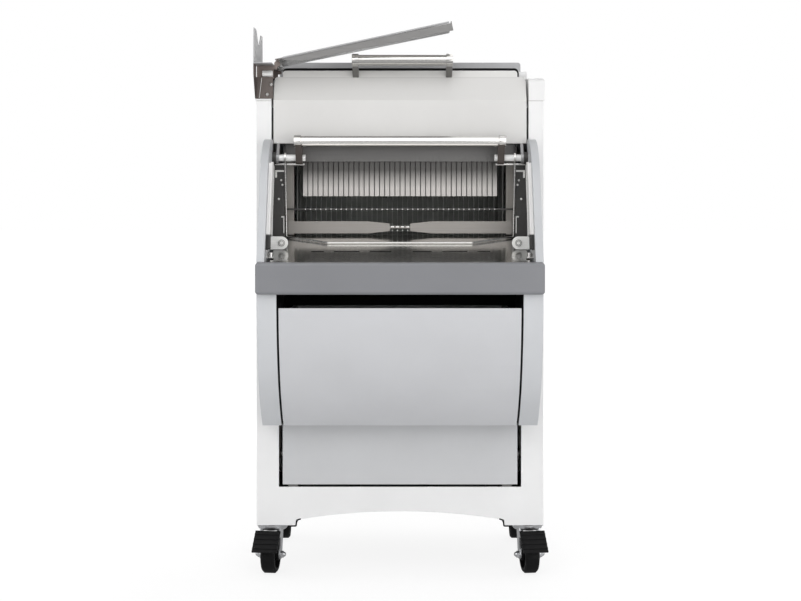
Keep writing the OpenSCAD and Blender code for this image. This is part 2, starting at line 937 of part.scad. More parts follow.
// Tray behind the blades that the cut loaf moves on to, on two cross rails
module rear_bread_tray() {
    color("silver") {
        difference() {
            block([-tray_x, y_b1 + table_back, z_t1 - sheet], [tray_x, y_bay, z_t1 + bay_h]);
            block([-tray_x + sheet, y_b1, z_t1], [tray_x - sheet, y_bay - sheet, z_t1 + bay_h + over]);
        }
        for (y = [y_b1 + bay_rail_in, y_bay - bay_rail_in])
            block([-skin_x, y, z_t1 - sheet - bay_rail], [skin_x, y + bay_rail, z_t1 - sheet]);
    }
}

// Drive
// U-shaped blocks on the side panels, in whose slots the beams' ends slide
module frame_guides() {
    color("dimgray") pair() for (z = [z_low, z_high]) difference() {
        block([guide_x0, y_a0 - guide_wall, z - guide_run], [skin_x, y_b1 + guide_wall, z + beam_h + guide_run]);
        for (y = [y_a0, y_b0])
            block([guide_x0 - over, y - gap, z - guide_run - over],
                  [beam_x + gap, y + blade_d + gap, z + beam_h + guide_run + over]);
    }
}

// Beams, posts and connecting rods of one blade frame; the rods' eyes meet the crank pins end on
module blade_frame(y0, y_pin) {
    for (z = [z_low, z_high])
        block([-beam_x, y0, z], [beam_x, y0 + blade_d, z + beam_h]);
    pair() {
        block([post_x0, y0, z_low + beam_h], [post_x0 + post_w, y0 + blade_d, z_high]);
        difference() {
            union() {
                block([rod_x0, y0, z_crank], [rod_x0 + rod_w, y0 + blade_d, z_low]);
                bar_x(rod_x0, rod_x0 + rod_w, y_pin, z_crank, eye_r);
            }
            bar_x(rod_x0 - over, rod_x0 + rod_w + over, y_pin, z_crank, pin_r + gap);
        }
    }
}

module blade_frame_front() {
    color("slategray") blade_frame(y_a0, y_mid - stroke);
}

module blade_frame_rear() {
    color("slategray") blade_frame(y_b0, y_mid + stroke);
}

// One blade: a thin strip whose edge towards the loaf is waved
module blade(x, y0) {
    z0 = z_low + beam_h;
    n = floor((z_high - z0) / tooth);
    step = (z_high - z0) / n;
    along_x(x - blade_t / 2, x + blade_t / 2) polygon(concat(
        [[y0 + blade_d, z_high], [y0 + blade_d, z0]],
        [for (i = [0:n - 1], s = wave_shares) [y0 + s[0] * blade_d, z0 + (i + s[1]) * step]],
        [[y0 + wave_shares[0][0] * blade_d, z_high]]));
}

module blades_front() {
    color("lightgray") for (i = [0:2:blade_n - 1]) blade(i * pitch - blades_x, y_a0);
}

module blades_rear() {
    color("lightgray") for (i = [1:2:blade_n - 1]) blade(i * pitch - blades_x, y_b0);
}

// Crankshaft with its end discs, two short pins on each, and the driven pulley
module crankshaft() {
    color("gray") {
        bar_x(-disc_x0, disc_x0, y_mid, z_crank, crank_r);
        pair() {
            bar_x(disc_x0, disc_x0 + disc_w, y_mid, z_crank, disc_r);
            for (y = [y_mid - stroke, y_mid + stroke])
                bar_x(disc_x0 + disc_w, rod_x0 - gap, y, z_crank, pin_r);
        }
        pulley(y_mid, z_crank, crank_pulley_r);
    }
}

// Grooved pulley: two flanges and a web for the belt to run between
module pulley(y, z, r) {
    bar_x(belt_x0, belt_x0 + belt_w, y, z, r);
    for (x = [belt_x0 - flange_t, belt_x0 + belt_w]) bar_x(x, x + flange_t, y, z, r + flange_h);
}

module bearing_blocks() {
    color("dimgray") pair() difference() {
        along_x(bearing_x, bearing_x + bearing_w) {
            translate([y_mid, z_crank]) circle(bearing_r);
            translate([y_mid - bearing_r, z_plate]) square([2 * bearing_r, z_crank - z_plate]);
            translate([y_mid - bearing_foot, z_plate]) square([2 * bearing_foot, foot_h]);
        }
        bar_x(bearing_x - over, bearing_x + bearing_w + over, y_mid, z_crank, crank_r + run);
    }
}

// Motor with a finned barrel and end bells; its shaft turns with the pulley
module motor() {
    x0 = motor_x1 - motor_l;
    color("steelblue") difference() {
        union() {
            bar_x(x0, motor_x1, y_motor, z_motor, motor_r - fin_h);
            for (x = [x0, motor_x1 - bell_w]) bar_x(x, x + bell_w, y_motor, z_motor, motor_r);
            for (i = [0:fin_n - 1])
                translate([x0, y_motor, z_motor]) rotate([i * 360 / fin_n, 0, 0])
                    block([0, -fin_t / 2, 0], [motor_l, fin_t / 2, motor_r - fin_t]);
        }
        bar_x(motor_x1 - shaft_in - gap, motor_x1 + over, y_motor, z_motor, shaft_r + run);
    }
}

module motor_saddles() {
    x0 = motor_x1 - motor_l;
    color("dimgray") for (x = [x0, motor_x1 - bell_w]) difference() {
        block([x, y_motor - motor_r, z_plate], [x + bell_w, y_motor + motor_r, z_motor - motor_r * saddle_share]);
        bar_x(x - over, x + bell_w + over, y_motor, z_motor, motor_r);
    }
}

module motor_pulley() {
    color("gray") {
        bar_x(motor_x1 - shaft_in, belt_x0 + belt_w, y_motor, z_motor, shaft_r);
        pulley(y_motor, z_motor, motor_pulley_r);
    }
}

// Belt round both pulleys, with running room inside
module drive_belt() {
    color("black") along_x(belt_x0 + gap, belt_x0 + belt_w - gap) difference() {
        belt_loop(belt_t);
        belt_loop(gap);
    }
}

module belt_loop(t) {
    hull() {
        translate([y_mid, z_crank]) circle(crank_pulley_r + t);
        translate([y_motor, z_motor]) circle(motor_pulley_r + t);
    }
}

// Drawer
module crumb_drawer() {
    color("lightgray") {
        difference() {
            block([-bin_x, y_bin0, z_bin0], [bin_x, y_bin1, z_bin1]);
            block([-bin_x + sheet, y_bin0 + sheet, z_bin0 + sheet],
                  [bin_x - sheet, y_bin1 - sheet, z_bin1 + over]);
        }
        pair() block([bin_x, y_bin0, z_bin1 - sheet], [drawer_x, y_bin1, z_bin1]);
    }
}

// Curved front, with gussets that join it to the bin
module drawer_front() {
    c = [y_belly + belly_r, z_bar0];
    a1 = asin(finger_gap / belly_r);
    color("lightgray") {
        along_x(-drawer_x, drawer_x)
            polygon(concat(arc(c, belly_r, 180 + a1, 180 + belly_a),
                           arc(c, belly_r - drawer_t, 180 + belly_a, 180 + a1)));
        pair() along_x(bin_x - sheet, bin_x) intersection() {
            translate(c) circle(belly_r - drawer_t, $fn = belly_fn);
            translate([y_belly, z_bin0]) square([y_bin0 - y_belly, z_bin1 - z_bin0]);
        }
    }
}

// Runners under the bin's rims, joined behind the bin by a dark apron
module drawer_runners() {
    z1 = z_bin1 - sheet - gap;
    y1 = y_bin1 + gap;
    color("#202020") {
        pair() {
            block([bin_x + gap, y_face + runner_in, z1 - runner_t], [drawer_x, y1, z1]);
            for (y = [y_a0 - guide_wall - runner_arm, y1 - runner_arm])
                block([drawer_x, y, z1 - runner_t], [skin_x, y + runner_arm, z1]);
        }
        block([-skin_x, y1, z1 - runner_t], [skin_x, y1 + sheet, z1 + apron_h]);
    }
}

// Hood
// Front outline of the hood: full width up to the brim, then a narrower rim
module hood_outline() {
    round_rect([-hood_x, z_h], [hood_x, z_brim], brim_r);
    round_rect([-rim_x, z_crease], [rim_x, z_hood1], rim_corner);
}

module hood_cover() {
    slope = hood_back / hood_up;
    t_up = sheet / cos(atan(slope));
    z_side = z_brim - brim_r;
    y_side = y_face + (z_side - z_crease) * slope;
    color("whitesmoke") {
        intersection() {
            along_x(-hood_x, hood_x) {
                polygon([
                    [y_face, z_hood0], [y_face + hood_lip, z_hood0], [y_face + hood_lip, z_hood0 + sheet],
                    [y_face + sheet, z_hood0 + sheet], [y_face + sheet, z_crease],
                    [y_hood1 + t_up, z_hood1], [y_hood1, z_hood1], [y_face, z_crease]]);
                translate([y_hood1, z_hood1 - sheet]) square([hood_lip, sheet]);
            }
            along_y(y_face, y_hood1 + hood_lip) hood_outline();
        }
        pair() along_x(hood_x - sheet, hood_x) polygon([
            [y_face, z_hood0], [y_face + hood_wall, z_hood0], [y_face + hood_wall, z_crease],
            [y_side + hood_lip, z_side], [y_side, z_side], [y_face, z_crease]]);
    }
}

module grab_tube() {
    x1 = grab_w / 2 - grab_post;
    color("silver") bar_x(grab_off - x1, grab_off + x1, y_grab, z_grab, grab_r);
}

// Posts that hold the grab tube's ends, standing on the hood's leaning plate
module grab_posts() {
    slope = hood_back / hood_up;
    z0 = z_crease + hood_up * post_low_share;
    z1 = z_crease + hood_up * post_high_share;
    color("silver") translate([grab_off, 0, 0]) pair() along_x(grab_w / 2 - grab_post, grab_w / 2) {
        translate([y_grab, z_grab]) circle(post_r);
        polygon([
            [y_face + (z0 - z_crease) * slope, z0], [y_face + (z1 - z_crease) * slope, z1],
            [y_grab + post_r * post_in_share, z_grab + post_r * post_in_share],
            [y_grab - post_r * post_in_share, z_grab - post_r * post_in_share]]);
    }
}

module handle_tube() {
    x1 = handle_w / 2 - handle_cap_w;
    color("silver") bar_x(-x1, x1, y_handle, z_handle, handle_r);
}

module handle_caps() {
    color("gainsboro") pair()
        bar_x(handle_w / 2 - handle_cap_w, handle_w / 2, y_handle, z_handle, handle_cap_r);
}

// Dark brackets from the pivot shafts up to the handle's end caps
module handle_brackets() {
    x1 = bracket_x0 + bracket_w;
    d = [y_handle - y_h, z_handle - z_h];
    side = bracket_r * [d[1], -d[0]] / norm(d);
    color("#4a3f3a") pair() difference() {
        along_x(bracket_x0, x1) {
            translate([y_h, z_h]) circle(bracket_r);
            polygon([[y_h, z_h] + side, [y_handle, z_handle] + side,
                     [y_handle, z_handle] - side, [y_h, z_h] - side]);
        }
        bar_x(bracket_x0 - over, x1 + over, y_handle, z_handle, handle_cap_r);
        bar_x(bracket_x0 - over, x1 + over, y_h, z_h, pivot_r);
    }
}

// Arms from the pivot shafts up to the hood's lower lip
module hinge_arms() {
    color("gainsboro") pair() difference() {
        along_x(arm_x1 - arm_w, arm_x1) {
            translate([y_h, z_h]) circle(arm_r);
            polygon([[y_h - arm_r, z_h], [y_face, z_hood0],
                     [y_face + hood_lip, z_hood0], [y_h + arm_r, z_h]]);
        }
        bar_x(arm_x1 - arm_w - over, arm_x1 + over, y_h, z_h, pivot_r);
    }
}

module pivot_shafts() {
    color("gainsboro") pair() bar_x(pivot_x0, pivot_x1, y_h, z_h, pivot_r);
}

// Wire bail that hangs from the pivot shafts and lies over the table
module loaf_bail() {
    r = wire_dia / 2;
    top = [bail_x, y_h, z_h - pivot_r - r];
    corner = [bail_x, y_face + bail_back, table_z(y_face + bail_back) + r + bail_lift];
    elbow = [bail_in_x, y_face - bail_fwd, table_z(y_face - bail_fwd) + r + bail_lift];
    color("silver") {
        pair() {
            difference() {
                union() {
                    bar_x(bail_x - r, bail_x + r, y_h, z_h, pivot_r + wire_dia);
                    wire(corner, top, r);
                }
                bar_x(bail_x - r - over, bail_x + r + over, y_h, z_h, pivot_r + run);
            }
            wire(elbow, corner, r);
        }
        bar_x(-bail_in_x, bail_in_x, elbow[1], elbow[2], r);
    }
}

// Scoop
// Bracket screwed to the left column's cap, with two lugs and the hinge pin
module scoop_bracket() {
    x0 = fork_x + sheet;
    x1 = -hood_x - hood_gap;
    color("silver") {
        block([x0, y_face - 2 * sheet, z_seam + bracket_in], [x1, y_face - sheet, z_cap + sheet]);
        block([x0, y_face - 2 * sheet, z_cap], [x1, y_lug1 + lug_t, z_cap + sheet]);
        for (y = [y_lug0, y_lug1]) difference() {
            along_y(y, y + lug_t) {
                translate([scoop_x, z_scoop]) circle(knuckle_r);
                translate([x0, z_cap + sheet]) square([x1 - x0, z_scoop - z_cap - sheet - lug_t]);
                translate([x0, z_scoop - lug_h]) square([scoop_x - x0, lug_h - lug_t]);
            }
            bar_y(y - over, y + lug_t + over, scoop_x, z_scoop, scoop_pin_r);
        }
        bar_y(y_lug0, y_lug1 + lug_t, scoop_x, z_scoop, scoop_pin_r);
    }
}

// Upright plate with two prongs and the floor strip that joins it to the lugs
module scoop_fork() {
    z0 = z_scoop - lug_t;
    z1 = z_scoop + prong_h;
    zn = z_scoop + prong_h * notch_share;
    color("silver") {
        along_x(fork_x, fork_x + sheet) polygon([
            [y_fork0, z0], [y_fork0 + prong_in, z1], [notch_y, zn],
            [y_fork1 - prong_in, z1], [y_fork1, z0]]);
        block([fork_x, y_fork0, z0], [scoop_x - knuckle_r - gap, y_fork1, z0 + sheet]);
    }
}

// Tray with a front edge turned down and its others turned up, on a knuckle between the lugs
module scoop_tray() {
    y0 = y_tray0;
    y1 = y_tray0 + tray_d;
    color("silver") translate([scoop_x, 0, z_scoop]) rotate([0, -tray_tilt, 0]) difference() {
        union() {
            block([0, y0, knuckle_r - tray_t], [tray_l, y1, knuckle_r]);
            along_y(y0, y0 + tray_t) polygon([
                [tray_in, knuckle_r], [tray_l, knuckle_r], [tray_l, knuckle_r - tray_drop],
                [tray_taper, knuckle_r - tray_drop], [tray_in, knuckle_r - tray_lip]]);
            block([tray_in, y1 - tray_t, knuckle_r], [tray_l, y1, knuckle_r + tray_lip]);
            block([tray_l - tray_t, y0, knuckle_r], [tray_l, y1, knuckle_r + tray_lip]);
            bar_y(y_lug0 + lug_t + gap, y_lug1 - gap, 0, 0, knuckle_r);
        }
        bar_y(y_lug0, y_lug1, 0, 0, scoop_pin_r + run);
        for (y = [y_lug0 - gap, y_lug1 - gap])
            block([-knuckle_r, y, 0], [knuckle_r + gap, y + lug_t + 2 * gap, knuckle_r + over]);
    }
}

module cord_gland() {
    color("dimgray") difference() {
        union() {
            bar_y(y_back - sheet - gland_nut, y_back + gland_nut, gland_x, z_gland, gland_r);
            for (y = [y_back - sheet - gland_nut, y_back])
                translate([gland_x, y, z_gland]) rotate([-90, 0, 0])
                    cylinder(r = gland_r + gland_flat, h = gland_nut, $fn = 6);
        }
        bar_y(y_back - gland_nut - sheet - over, y_back + gland_nut + over, gland_x, z_gland, cord_r);
    }
}

// Casters
module caster_plates() {
    color("silver") pair() {
        block([caster_x - crown_r, y_swivel - crown_r, z_base - caster_plate_t],
              [caster_x + crown_r, y_swivel + crown_r, z_base]);
        bar_z(z_crown0 + gap, z_base - caster_plate_t, caster_x, y_swivel, king_r);
    }
}

// Fork legs on both sides of a wheel, with the axle and its nuts
module fork_legs(x, y_top, y_axle) {
    for (s = [-1, 1]) translate([x, 0, 0]) scale([s, 1, 1]) {
        along_x(fork_in, fork_in + fork_t) {
            translate([y_axle, wheel_r]) circle(axle_r * 2);
            polygon([[y_axle - axle_r * 2, wheel_r], [y_top - leg_w, z_crown0 + leg_up],
                     [y_top + leg_w, z_crown0 + leg_up], [y_axle + axle_r * 2, wheel_r]]);
        }
        translate([fork_in + fork_t, y_axle, wheel_r]) rotate([0, 90, 0])
            cylinder(r = axle_r * nut_share, h = axle_r, $fn = 6);
        translate([fork_in + fork_t + axle_r, y_axle, wheel_r]) sphere(nut_dome);
    }
    bar_x(x - fork_in - fork_t, x + fork_in + fork_t, y_axle, wheel_r, axle_r);
}

// Puts a front caster, drawn about its swivel axis, in its place: 1 for right, -1 for left
module caster_place(side) {
    translate([side * caster_x, y_swivel, 0]) rotate([0, 0, side * toe]) children();
}

// Domed crown, legs and the pedal's pin
module caster_fork() {
    color("silver") {
        rotate_extrude() polygon(concat(
            [[king_r + run, z_crown0]],
            [for (i = [0:dome_n]) [dome_r + (crown_r - dome_r) * sin(90 * i / dome_n),
                                   z_crown0 + dome_h * (1 - cos(90 * i / dome_n))]],
            [[crown_r, z_crown1], [king_r + run, z_crown1]]));
        fork_legs(0, -leg_in, -trail);
        for (s = [-fork_in - fork_t, fork_in]) along_x(s, s + fork_t) {
            translate([-pedal_fwd, z_pedal]) circle(pedal_ear_r);
            polygon([[-pedal_fwd, z_pedal + pedal_ear_r], [-pedal_fwd, z_pedal - pedal_ear_r],
                     [-leg_in, z_crown0 - leg_w], [-leg_in, z_crown0]]);
        }
        bar_x(-fork_in - fork_t, fork_in + fork_t, -pedal_fwd, z_pedal, pedal_pin_r);
    }
}

module caster_fork_left() {
    caster_place(-1) caster_fork();
}

module caster_fork_right() {
    caster_place(1) caster_fork();
}

// Fixed forks of the rear casters
module rear_caster_forks() {
    color("silver") pair() {
        block([rear_caster_x - fork_in - fork_t, y_rear_axle - crown_r, z_crown0],
              [rear_caster_x + fork_in + fork_t, y_rear_axle + crown_r, z_base]);
        fork_legs(rear_caster_x, y_rear_axle, y_rear_axle);
    }
}

// Wheel: tyre with rounded shoulders, dished web and hub
module wheel(x, y) {
    hub_w = fork_in - gap;
    w = wheel_w / 2;
    color("#202020") translate([x, y, wheel_r]) rotate([0, 90, 0]) rotate_extrude() polygon([
        [axle_r + run, -hub_w], [hub_r, -hub_w], [hub_r, -w * web_share], [rim_r, -w * web_share],
        [rim_r, -w], [wheel_r - shoulder_r, -w], [wheel_r, -w + shoulder_r],
        [wheel_r, w - shoulder_r], [wheel_r - shoulder_r, w], [rim_r, w],
        [rim_r, w * web_share], [hub_r, w * web_share], [hub_r, hub_w], [axle_r + run, hub_w]]);
}

module wheel_front_left() {
    caster_place(-1) wheel(0, -trail);
}

module wheel_front_right() {
    caster_place(1) wheel(0, -trail);
}

module wheel_rear_left() {
    wheel(-rear_caster_x, y_rear_axle);
}

module wheel_rear_right() {
    wheel(rear_caster_x, y_rear_axle);
}

// Brake pedal: a ribbed plate in front of the wheel, on a pin between the fork legs
module brake_pedal() {
    w = fork_in - gap;
    pin = [-pedal_fwd, z_pedal];
    top = pin + [-pedal_in, pedal_up];
    deep = pedal_t / 2 * [sin(pedal_a), -cos(pedal_a)];
    color("black") difference() {
        union() {
            along_x(-w, w) {
                translate(pin) circle(pedal_ear_r);
                polygon([pin + [0, pedal_ear_r], top + deep,
                         top + deep + pedal_web * [cos(pedal_a), sin(pedal_a)], pin - [0, pedal_ear_r]]);
            }
            along_x(-pedal_hw, pedal_hw) translate(top) rotate(pedal_a) {
                translate([0, -pedal_t]) square([pedal_l, pedal_t]);
                for (i = [0:rib_n - 1])
                    translate([rib_in + i * rib_pitch, -pedal_t - rib_h]) square([rib_w, rib_h]);
            }
        }
        bar_x(-w - over, w + over, pin[0], pin[1], pedal_pin_r + run);
    }
}

module brake_pedal_left() {
    caster_place(-1) brake_pedal();
}

module brake_pedal_right() {
    caster_place(1) brake_pedal();
}

side_panel_left();
side_panel_right();
rear_panel();
base_frame();
base_front();
column_caps();
top_cover();
cheek_left();
cheek_right();
cheek_trims();
bumper_bar();
lower_front_panel();
loaf_table();
liners();
pivot_plates();
table_clamps();
table_latches();
chamber_beam();
blade_comb();
blade_guide_bar();
blade_guards();
rear_bread_tray();
frame_guides();
motor();
motor_saddles();
bearing_blocks();
drive_belt();
drawer_runners();
scoop_bracket();
scoop_fork();
cord_gland();
caster_plates();
rear_caster_forks();
rear_lid();
hood_cover();
grab_tube();
grab_posts();
handle_tube();
handle_caps();
handle_brackets();
hinge_arms();
pivot_shafts();
loaf_bail();
blade_frame_front();
blades_front();
blade_frame_rear();
blades_rear();
crankshaft();
motor_pulley();
crumb_drawer();
drawer_front();
scoop_tray();
caster_fork_left();
caster_fork_right();
brake_pedal_left();
brake_pedal_right();
wheel_front_left();
wheel_front_right();
wheel_rear_left();
wheel_rear_right();
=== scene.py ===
"""Looks of a bread slicer machine on casters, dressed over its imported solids."""
import json
import math

import bmesh
import bpy
from mathutils import Matrix, Vector

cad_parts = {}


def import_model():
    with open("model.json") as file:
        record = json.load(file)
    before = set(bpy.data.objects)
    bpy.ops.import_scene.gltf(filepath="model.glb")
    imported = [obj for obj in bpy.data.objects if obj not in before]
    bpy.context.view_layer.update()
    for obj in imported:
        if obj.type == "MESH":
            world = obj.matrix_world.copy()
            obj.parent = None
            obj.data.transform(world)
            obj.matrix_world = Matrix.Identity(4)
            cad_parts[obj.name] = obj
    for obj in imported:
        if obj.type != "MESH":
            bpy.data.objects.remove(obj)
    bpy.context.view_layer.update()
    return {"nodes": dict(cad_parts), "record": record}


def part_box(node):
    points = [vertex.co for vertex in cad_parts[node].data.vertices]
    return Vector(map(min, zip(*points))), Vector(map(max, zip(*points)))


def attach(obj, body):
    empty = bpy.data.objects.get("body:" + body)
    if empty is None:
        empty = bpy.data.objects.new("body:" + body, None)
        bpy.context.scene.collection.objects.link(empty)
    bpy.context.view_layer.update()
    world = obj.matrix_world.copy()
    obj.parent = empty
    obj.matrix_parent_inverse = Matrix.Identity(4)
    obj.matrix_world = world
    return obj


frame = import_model()
NODES = frame["nodes"]
MM = 0.001


def box_mm(node):
    """Lowest and highest corner of a CAD node, in millimetres."""
    return [Vector([c / MM for c in corner]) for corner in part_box(node)]


# Materials
def srgb(r, g, b):
    """Linear colour of an 8-bit colour."""
    out = []
    for c in (r, g, b):
        c /= 255
        out.append(c / 12.92 if c <= 0.04045 else ((c + 0.055) / 1.055) ** 2.4)
    return (*out, 1.0)


class Graph:
    """Small helper that adds nodes to a material and links them."""

    def __init__(self, name):
        self.mat = bpy.data.materials.new(name)
        self.mat.use_nodes = True
        self.tree = self.mat.node_tree
        self.bsdf = self.tree.nodes["Principled BSDF"]
        coord = self.add("ShaderNodeTexCoord")
        self.coord = coord.outputs["Object"]

    def add(self, kind, **values):
        node = self.tree.nodes.new(kind)
        for key, value in values.items():
            setattr(node, key, value)
        return node

    def link(self, a, b):
        self.tree.links.new(a, b)

    def noise(self, scale, detail=3.0, stretch=(1, 1, 1), rough=0.5):
        """Noise with about that many cells per metre, stretched along an axis if asked."""
        at = self.coord
        if stretch != (1, 1, 1):
            m = self.add("ShaderNodeMapping")
            m.inputs["Scale"].default_value = stretch
            self.link(at, m.inputs["Vector"])
            at = m.outputs["Vector"]
        n = self.add("ShaderNodeTexNoise")
        n.inputs["Scale"].default_value = scale
        n.inputs["Detail"].default_value = detail
        n.inputs["Roughness"].default_value = rough
        self.link(at, n.inputs["Vector"])
        return n.outputs["Fac"]

    def span(self, value, lo, hi, a=0.35, b=0.65):
        """value between a and b, mapped to lo..hi."""
        m = self.add("ShaderNodeMapRange")
        for key, v in (("From Min", a), ("From Max", b), ("To Min", lo), ("To Max", hi)):
            m.inputs[key].default_value = v
        self.link(value, m.inputs["Value"])
        return m.outputs["Result"]

    def mix(self, fac, a, b):
        """Colour mix; a and b are colours or sockets."""
        m = self.add("ShaderNodeMix", data_type="RGBA")
        self.link(fac, m.inputs["Factor"])
        for key, v in ((6, a), (7, b)):
            if isinstance(v, tuple):
                m.inputs[key].default_value = v
            else:
                self.link(v, m.inputs[key])
        return m.outputs[2]

    def math(self, op, a, b):
        m = self.add("ShaderNodeMath", operation=op)
        for i, v in enumerate((a, b)):
            if isinstance(v, (int, float)):
                m.inputs[i].default_value = v
            else:
                self.link(v, m.inputs[i])
        return m.outputs[0]

    def edges(self, radius):
        """1 on edges that stand out or in, 0 on flat faces."""
        bev = self.add("ShaderNodeBevel", samples=6)
        bev.inputs["Radius"].default_value = radius
        geo = self.add("ShaderNodeNewGeometry")
        dot = self.add("ShaderNodeVectorMath", operation="DOT_PRODUCT")
        self.link(bev.outputs["Normal"], dot.inputs[0])
        self.link(geo.outputs["Normal"], dot.inputs[1])
        return self.span(dot.outputs["Value"], 1.0, 0.0, 0.75, 0.995)

    def fade(self, base, colour, steps):
        """Base that turns into shades of colour; each step is an axis, from, to (metres) and a shade.
        The same place counts on both sides of the middle plane."""
        axes = self.add("ShaderNodeSeparateXYZ")
        self.link(self.coord, axes.inputs[0])
        for axis, start, end, f in steps:
            at = self.math("ABSOLUTE", axes.outputs[axis], 0)
            base = self.mix(self.span(at, 0.0, 1.0, start, end), base, shade(colour, f))
        return base

    def bump(self, height, strength, distance):
        b = self.add("ShaderNodeBump")
        b.inputs["Strength"].default_value = strength
        b.inputs["Distance"].default_value = distance
        self.link(height, b.inputs["Height"])
        self.link(b.outputs["Normal"], self.bsdf.inputs["Normal"])

    def set(self, key, value):
        if isinstance(value, (int, float, tuple)):
            self.bsdf.inputs[key].default_value = value
        else:
            self.link(value, self.bsdf.inputs[key])


def shade(colour, f):
    """Colour made lighter or darker by a factor, no brighter than white."""
    return tuple(min(1.0, c * f) for c in colour[:3]) + (1.0,)


def paint(name, colour, rough=0.38, peel=0.05, wear=0.5, fade=()):
    """Powder coat: fine orange peel, faint cloudiness, edges rubbed a little lighter."""
    g = Graph(name)
    cloud = g.noise(7.0, 4.0)
    base = g.mix(g.span(cloud, 0.0, 1.0), shade(colour, 0.975), shade(colour, 1.015))
    base = g.fade(base, colour, fade)
    scuff = g.span(g.noise(160.0, 6.0, rough=0.7), 0.0, 1.0, 0.45, 0.7)
    mask = g.math("MULTIPLY", g.math("MULTIPLY", g.edges(1.2 * MM), scuff), wear)
    g.set("Base Color", g.mix(mask, base, shade(colour, 1.12)))
    g.set("Roughness", g.span(g.noise(45.0, 3.0), rough - 0.05, rough + 0.06))
    g.bump(g.noise(900.0, 2.0), peel, 0.4 * MM)
    return g.mat


def plastic(name, colour, rough=0.45, grain=0.12):
    """Moulded plastic: fine grain, soft cloudiness, handled edges a little shinier."""
    g = Graph(name)
    cloud = g.noise(5.0, 3.0)
    base = g.mix(g.span(cloud, 0.0, 1.0), shade(colour, 0.96), shade(colour, 1.03))
    rub = g.math("MULTIPLY", g.edges(1.6 * MM), 0.35)
    g.set("Base Color", g.mix(rub, base, shade(colour, 1.2)))
    g.set("Roughness", g.span(g.noise(80.0, 4.0), rough - 0.06, rough + 0.08))
    g.bump(g.noise(1400.0, 2.0), grain, 0.3 * MM)
    return g.mat


def steel(name, colour, rough=0.3, along="x", depth=0.05, metallic=1.0, wear=0.35, fade=(), grain=1.0):
    """Brushed metal: streaks along one axis, faint stains, brighter edges."""
    stretch = {"x": (0.012, 1, 1), "z": (1, 1, 0.012), "none": (1, 1, 1)}[along]
    g = Graph(name)
    streak = g.noise(1100.0, 3.0, stretch)
    stain = g.noise(9.0, 5.0)
    dark, light = shade(colour, 1 - 0.07 * grain), shade(colour, 1 + 0.06 * grain)
    base = g.mix(g.span(streak, 0.0, 1.0, 0.3, 0.7), dark, light)
    base = g.mix(g.span(stain, 0.0, 0.25, 0.5, 0.75), base, shade(colour, 0.85))
    base = g.fade(base, colour, fade)
    mask = g.math("MULTIPLY", g.edges(0.9 * MM), wear)
    g.set("Base Color", g.mix(mask, base, shade(colour, 1.25)))
    g.set("Metallic", metallic)
    g.set("Roughness", g.span(streak, rough - 0.05 * grain, rough + 0.09 * grain, 0.3, 0.7))
    g.bump(streak, depth, 0.15 * MM)
    return g.mat


def rubber(name, colour, rough=0.7):
    """Rubber or hard black plastic: dusty in patches, worn paler on edges."""
    g = Graph(name)
    dust = g.noise(60.0, 6.0, rough=0.65)
    base = g.mix(g.span(dust, 0.0, 0.5, 0.48, 0.75), colour, shade(colour, 1.7))
    mask = g.math("MULTIPLY", g.edges(1.0 * MM), 0.5)
    g.set("Base Color", g.mix(mask, base, shade(colour, 2.4)))
    g.set("Roughness", g.span(dust, rough - 0.1, rough + 0.08))
    g.set("Specular IOR Level", 0.16)
    g.bump(g.noise(700.0, 4.0), 0.15, 0.3 * MM)
    return g.mat


def height_fade(node, *steps):
    """Fade steps by height: each is from, to (mm above the node's lowest point) and a shade."""
    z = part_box(node)[0].z
    return [("Z", z + start * MM, z + end * MM, f) for start, end, f in steps]


def side_fade(*steps):
    """Fade steps to both sides: each is from, to (mm from the middle plane) and a shade."""
    return [("X", start * MM, end * MM, f) for start, end, f in steps]


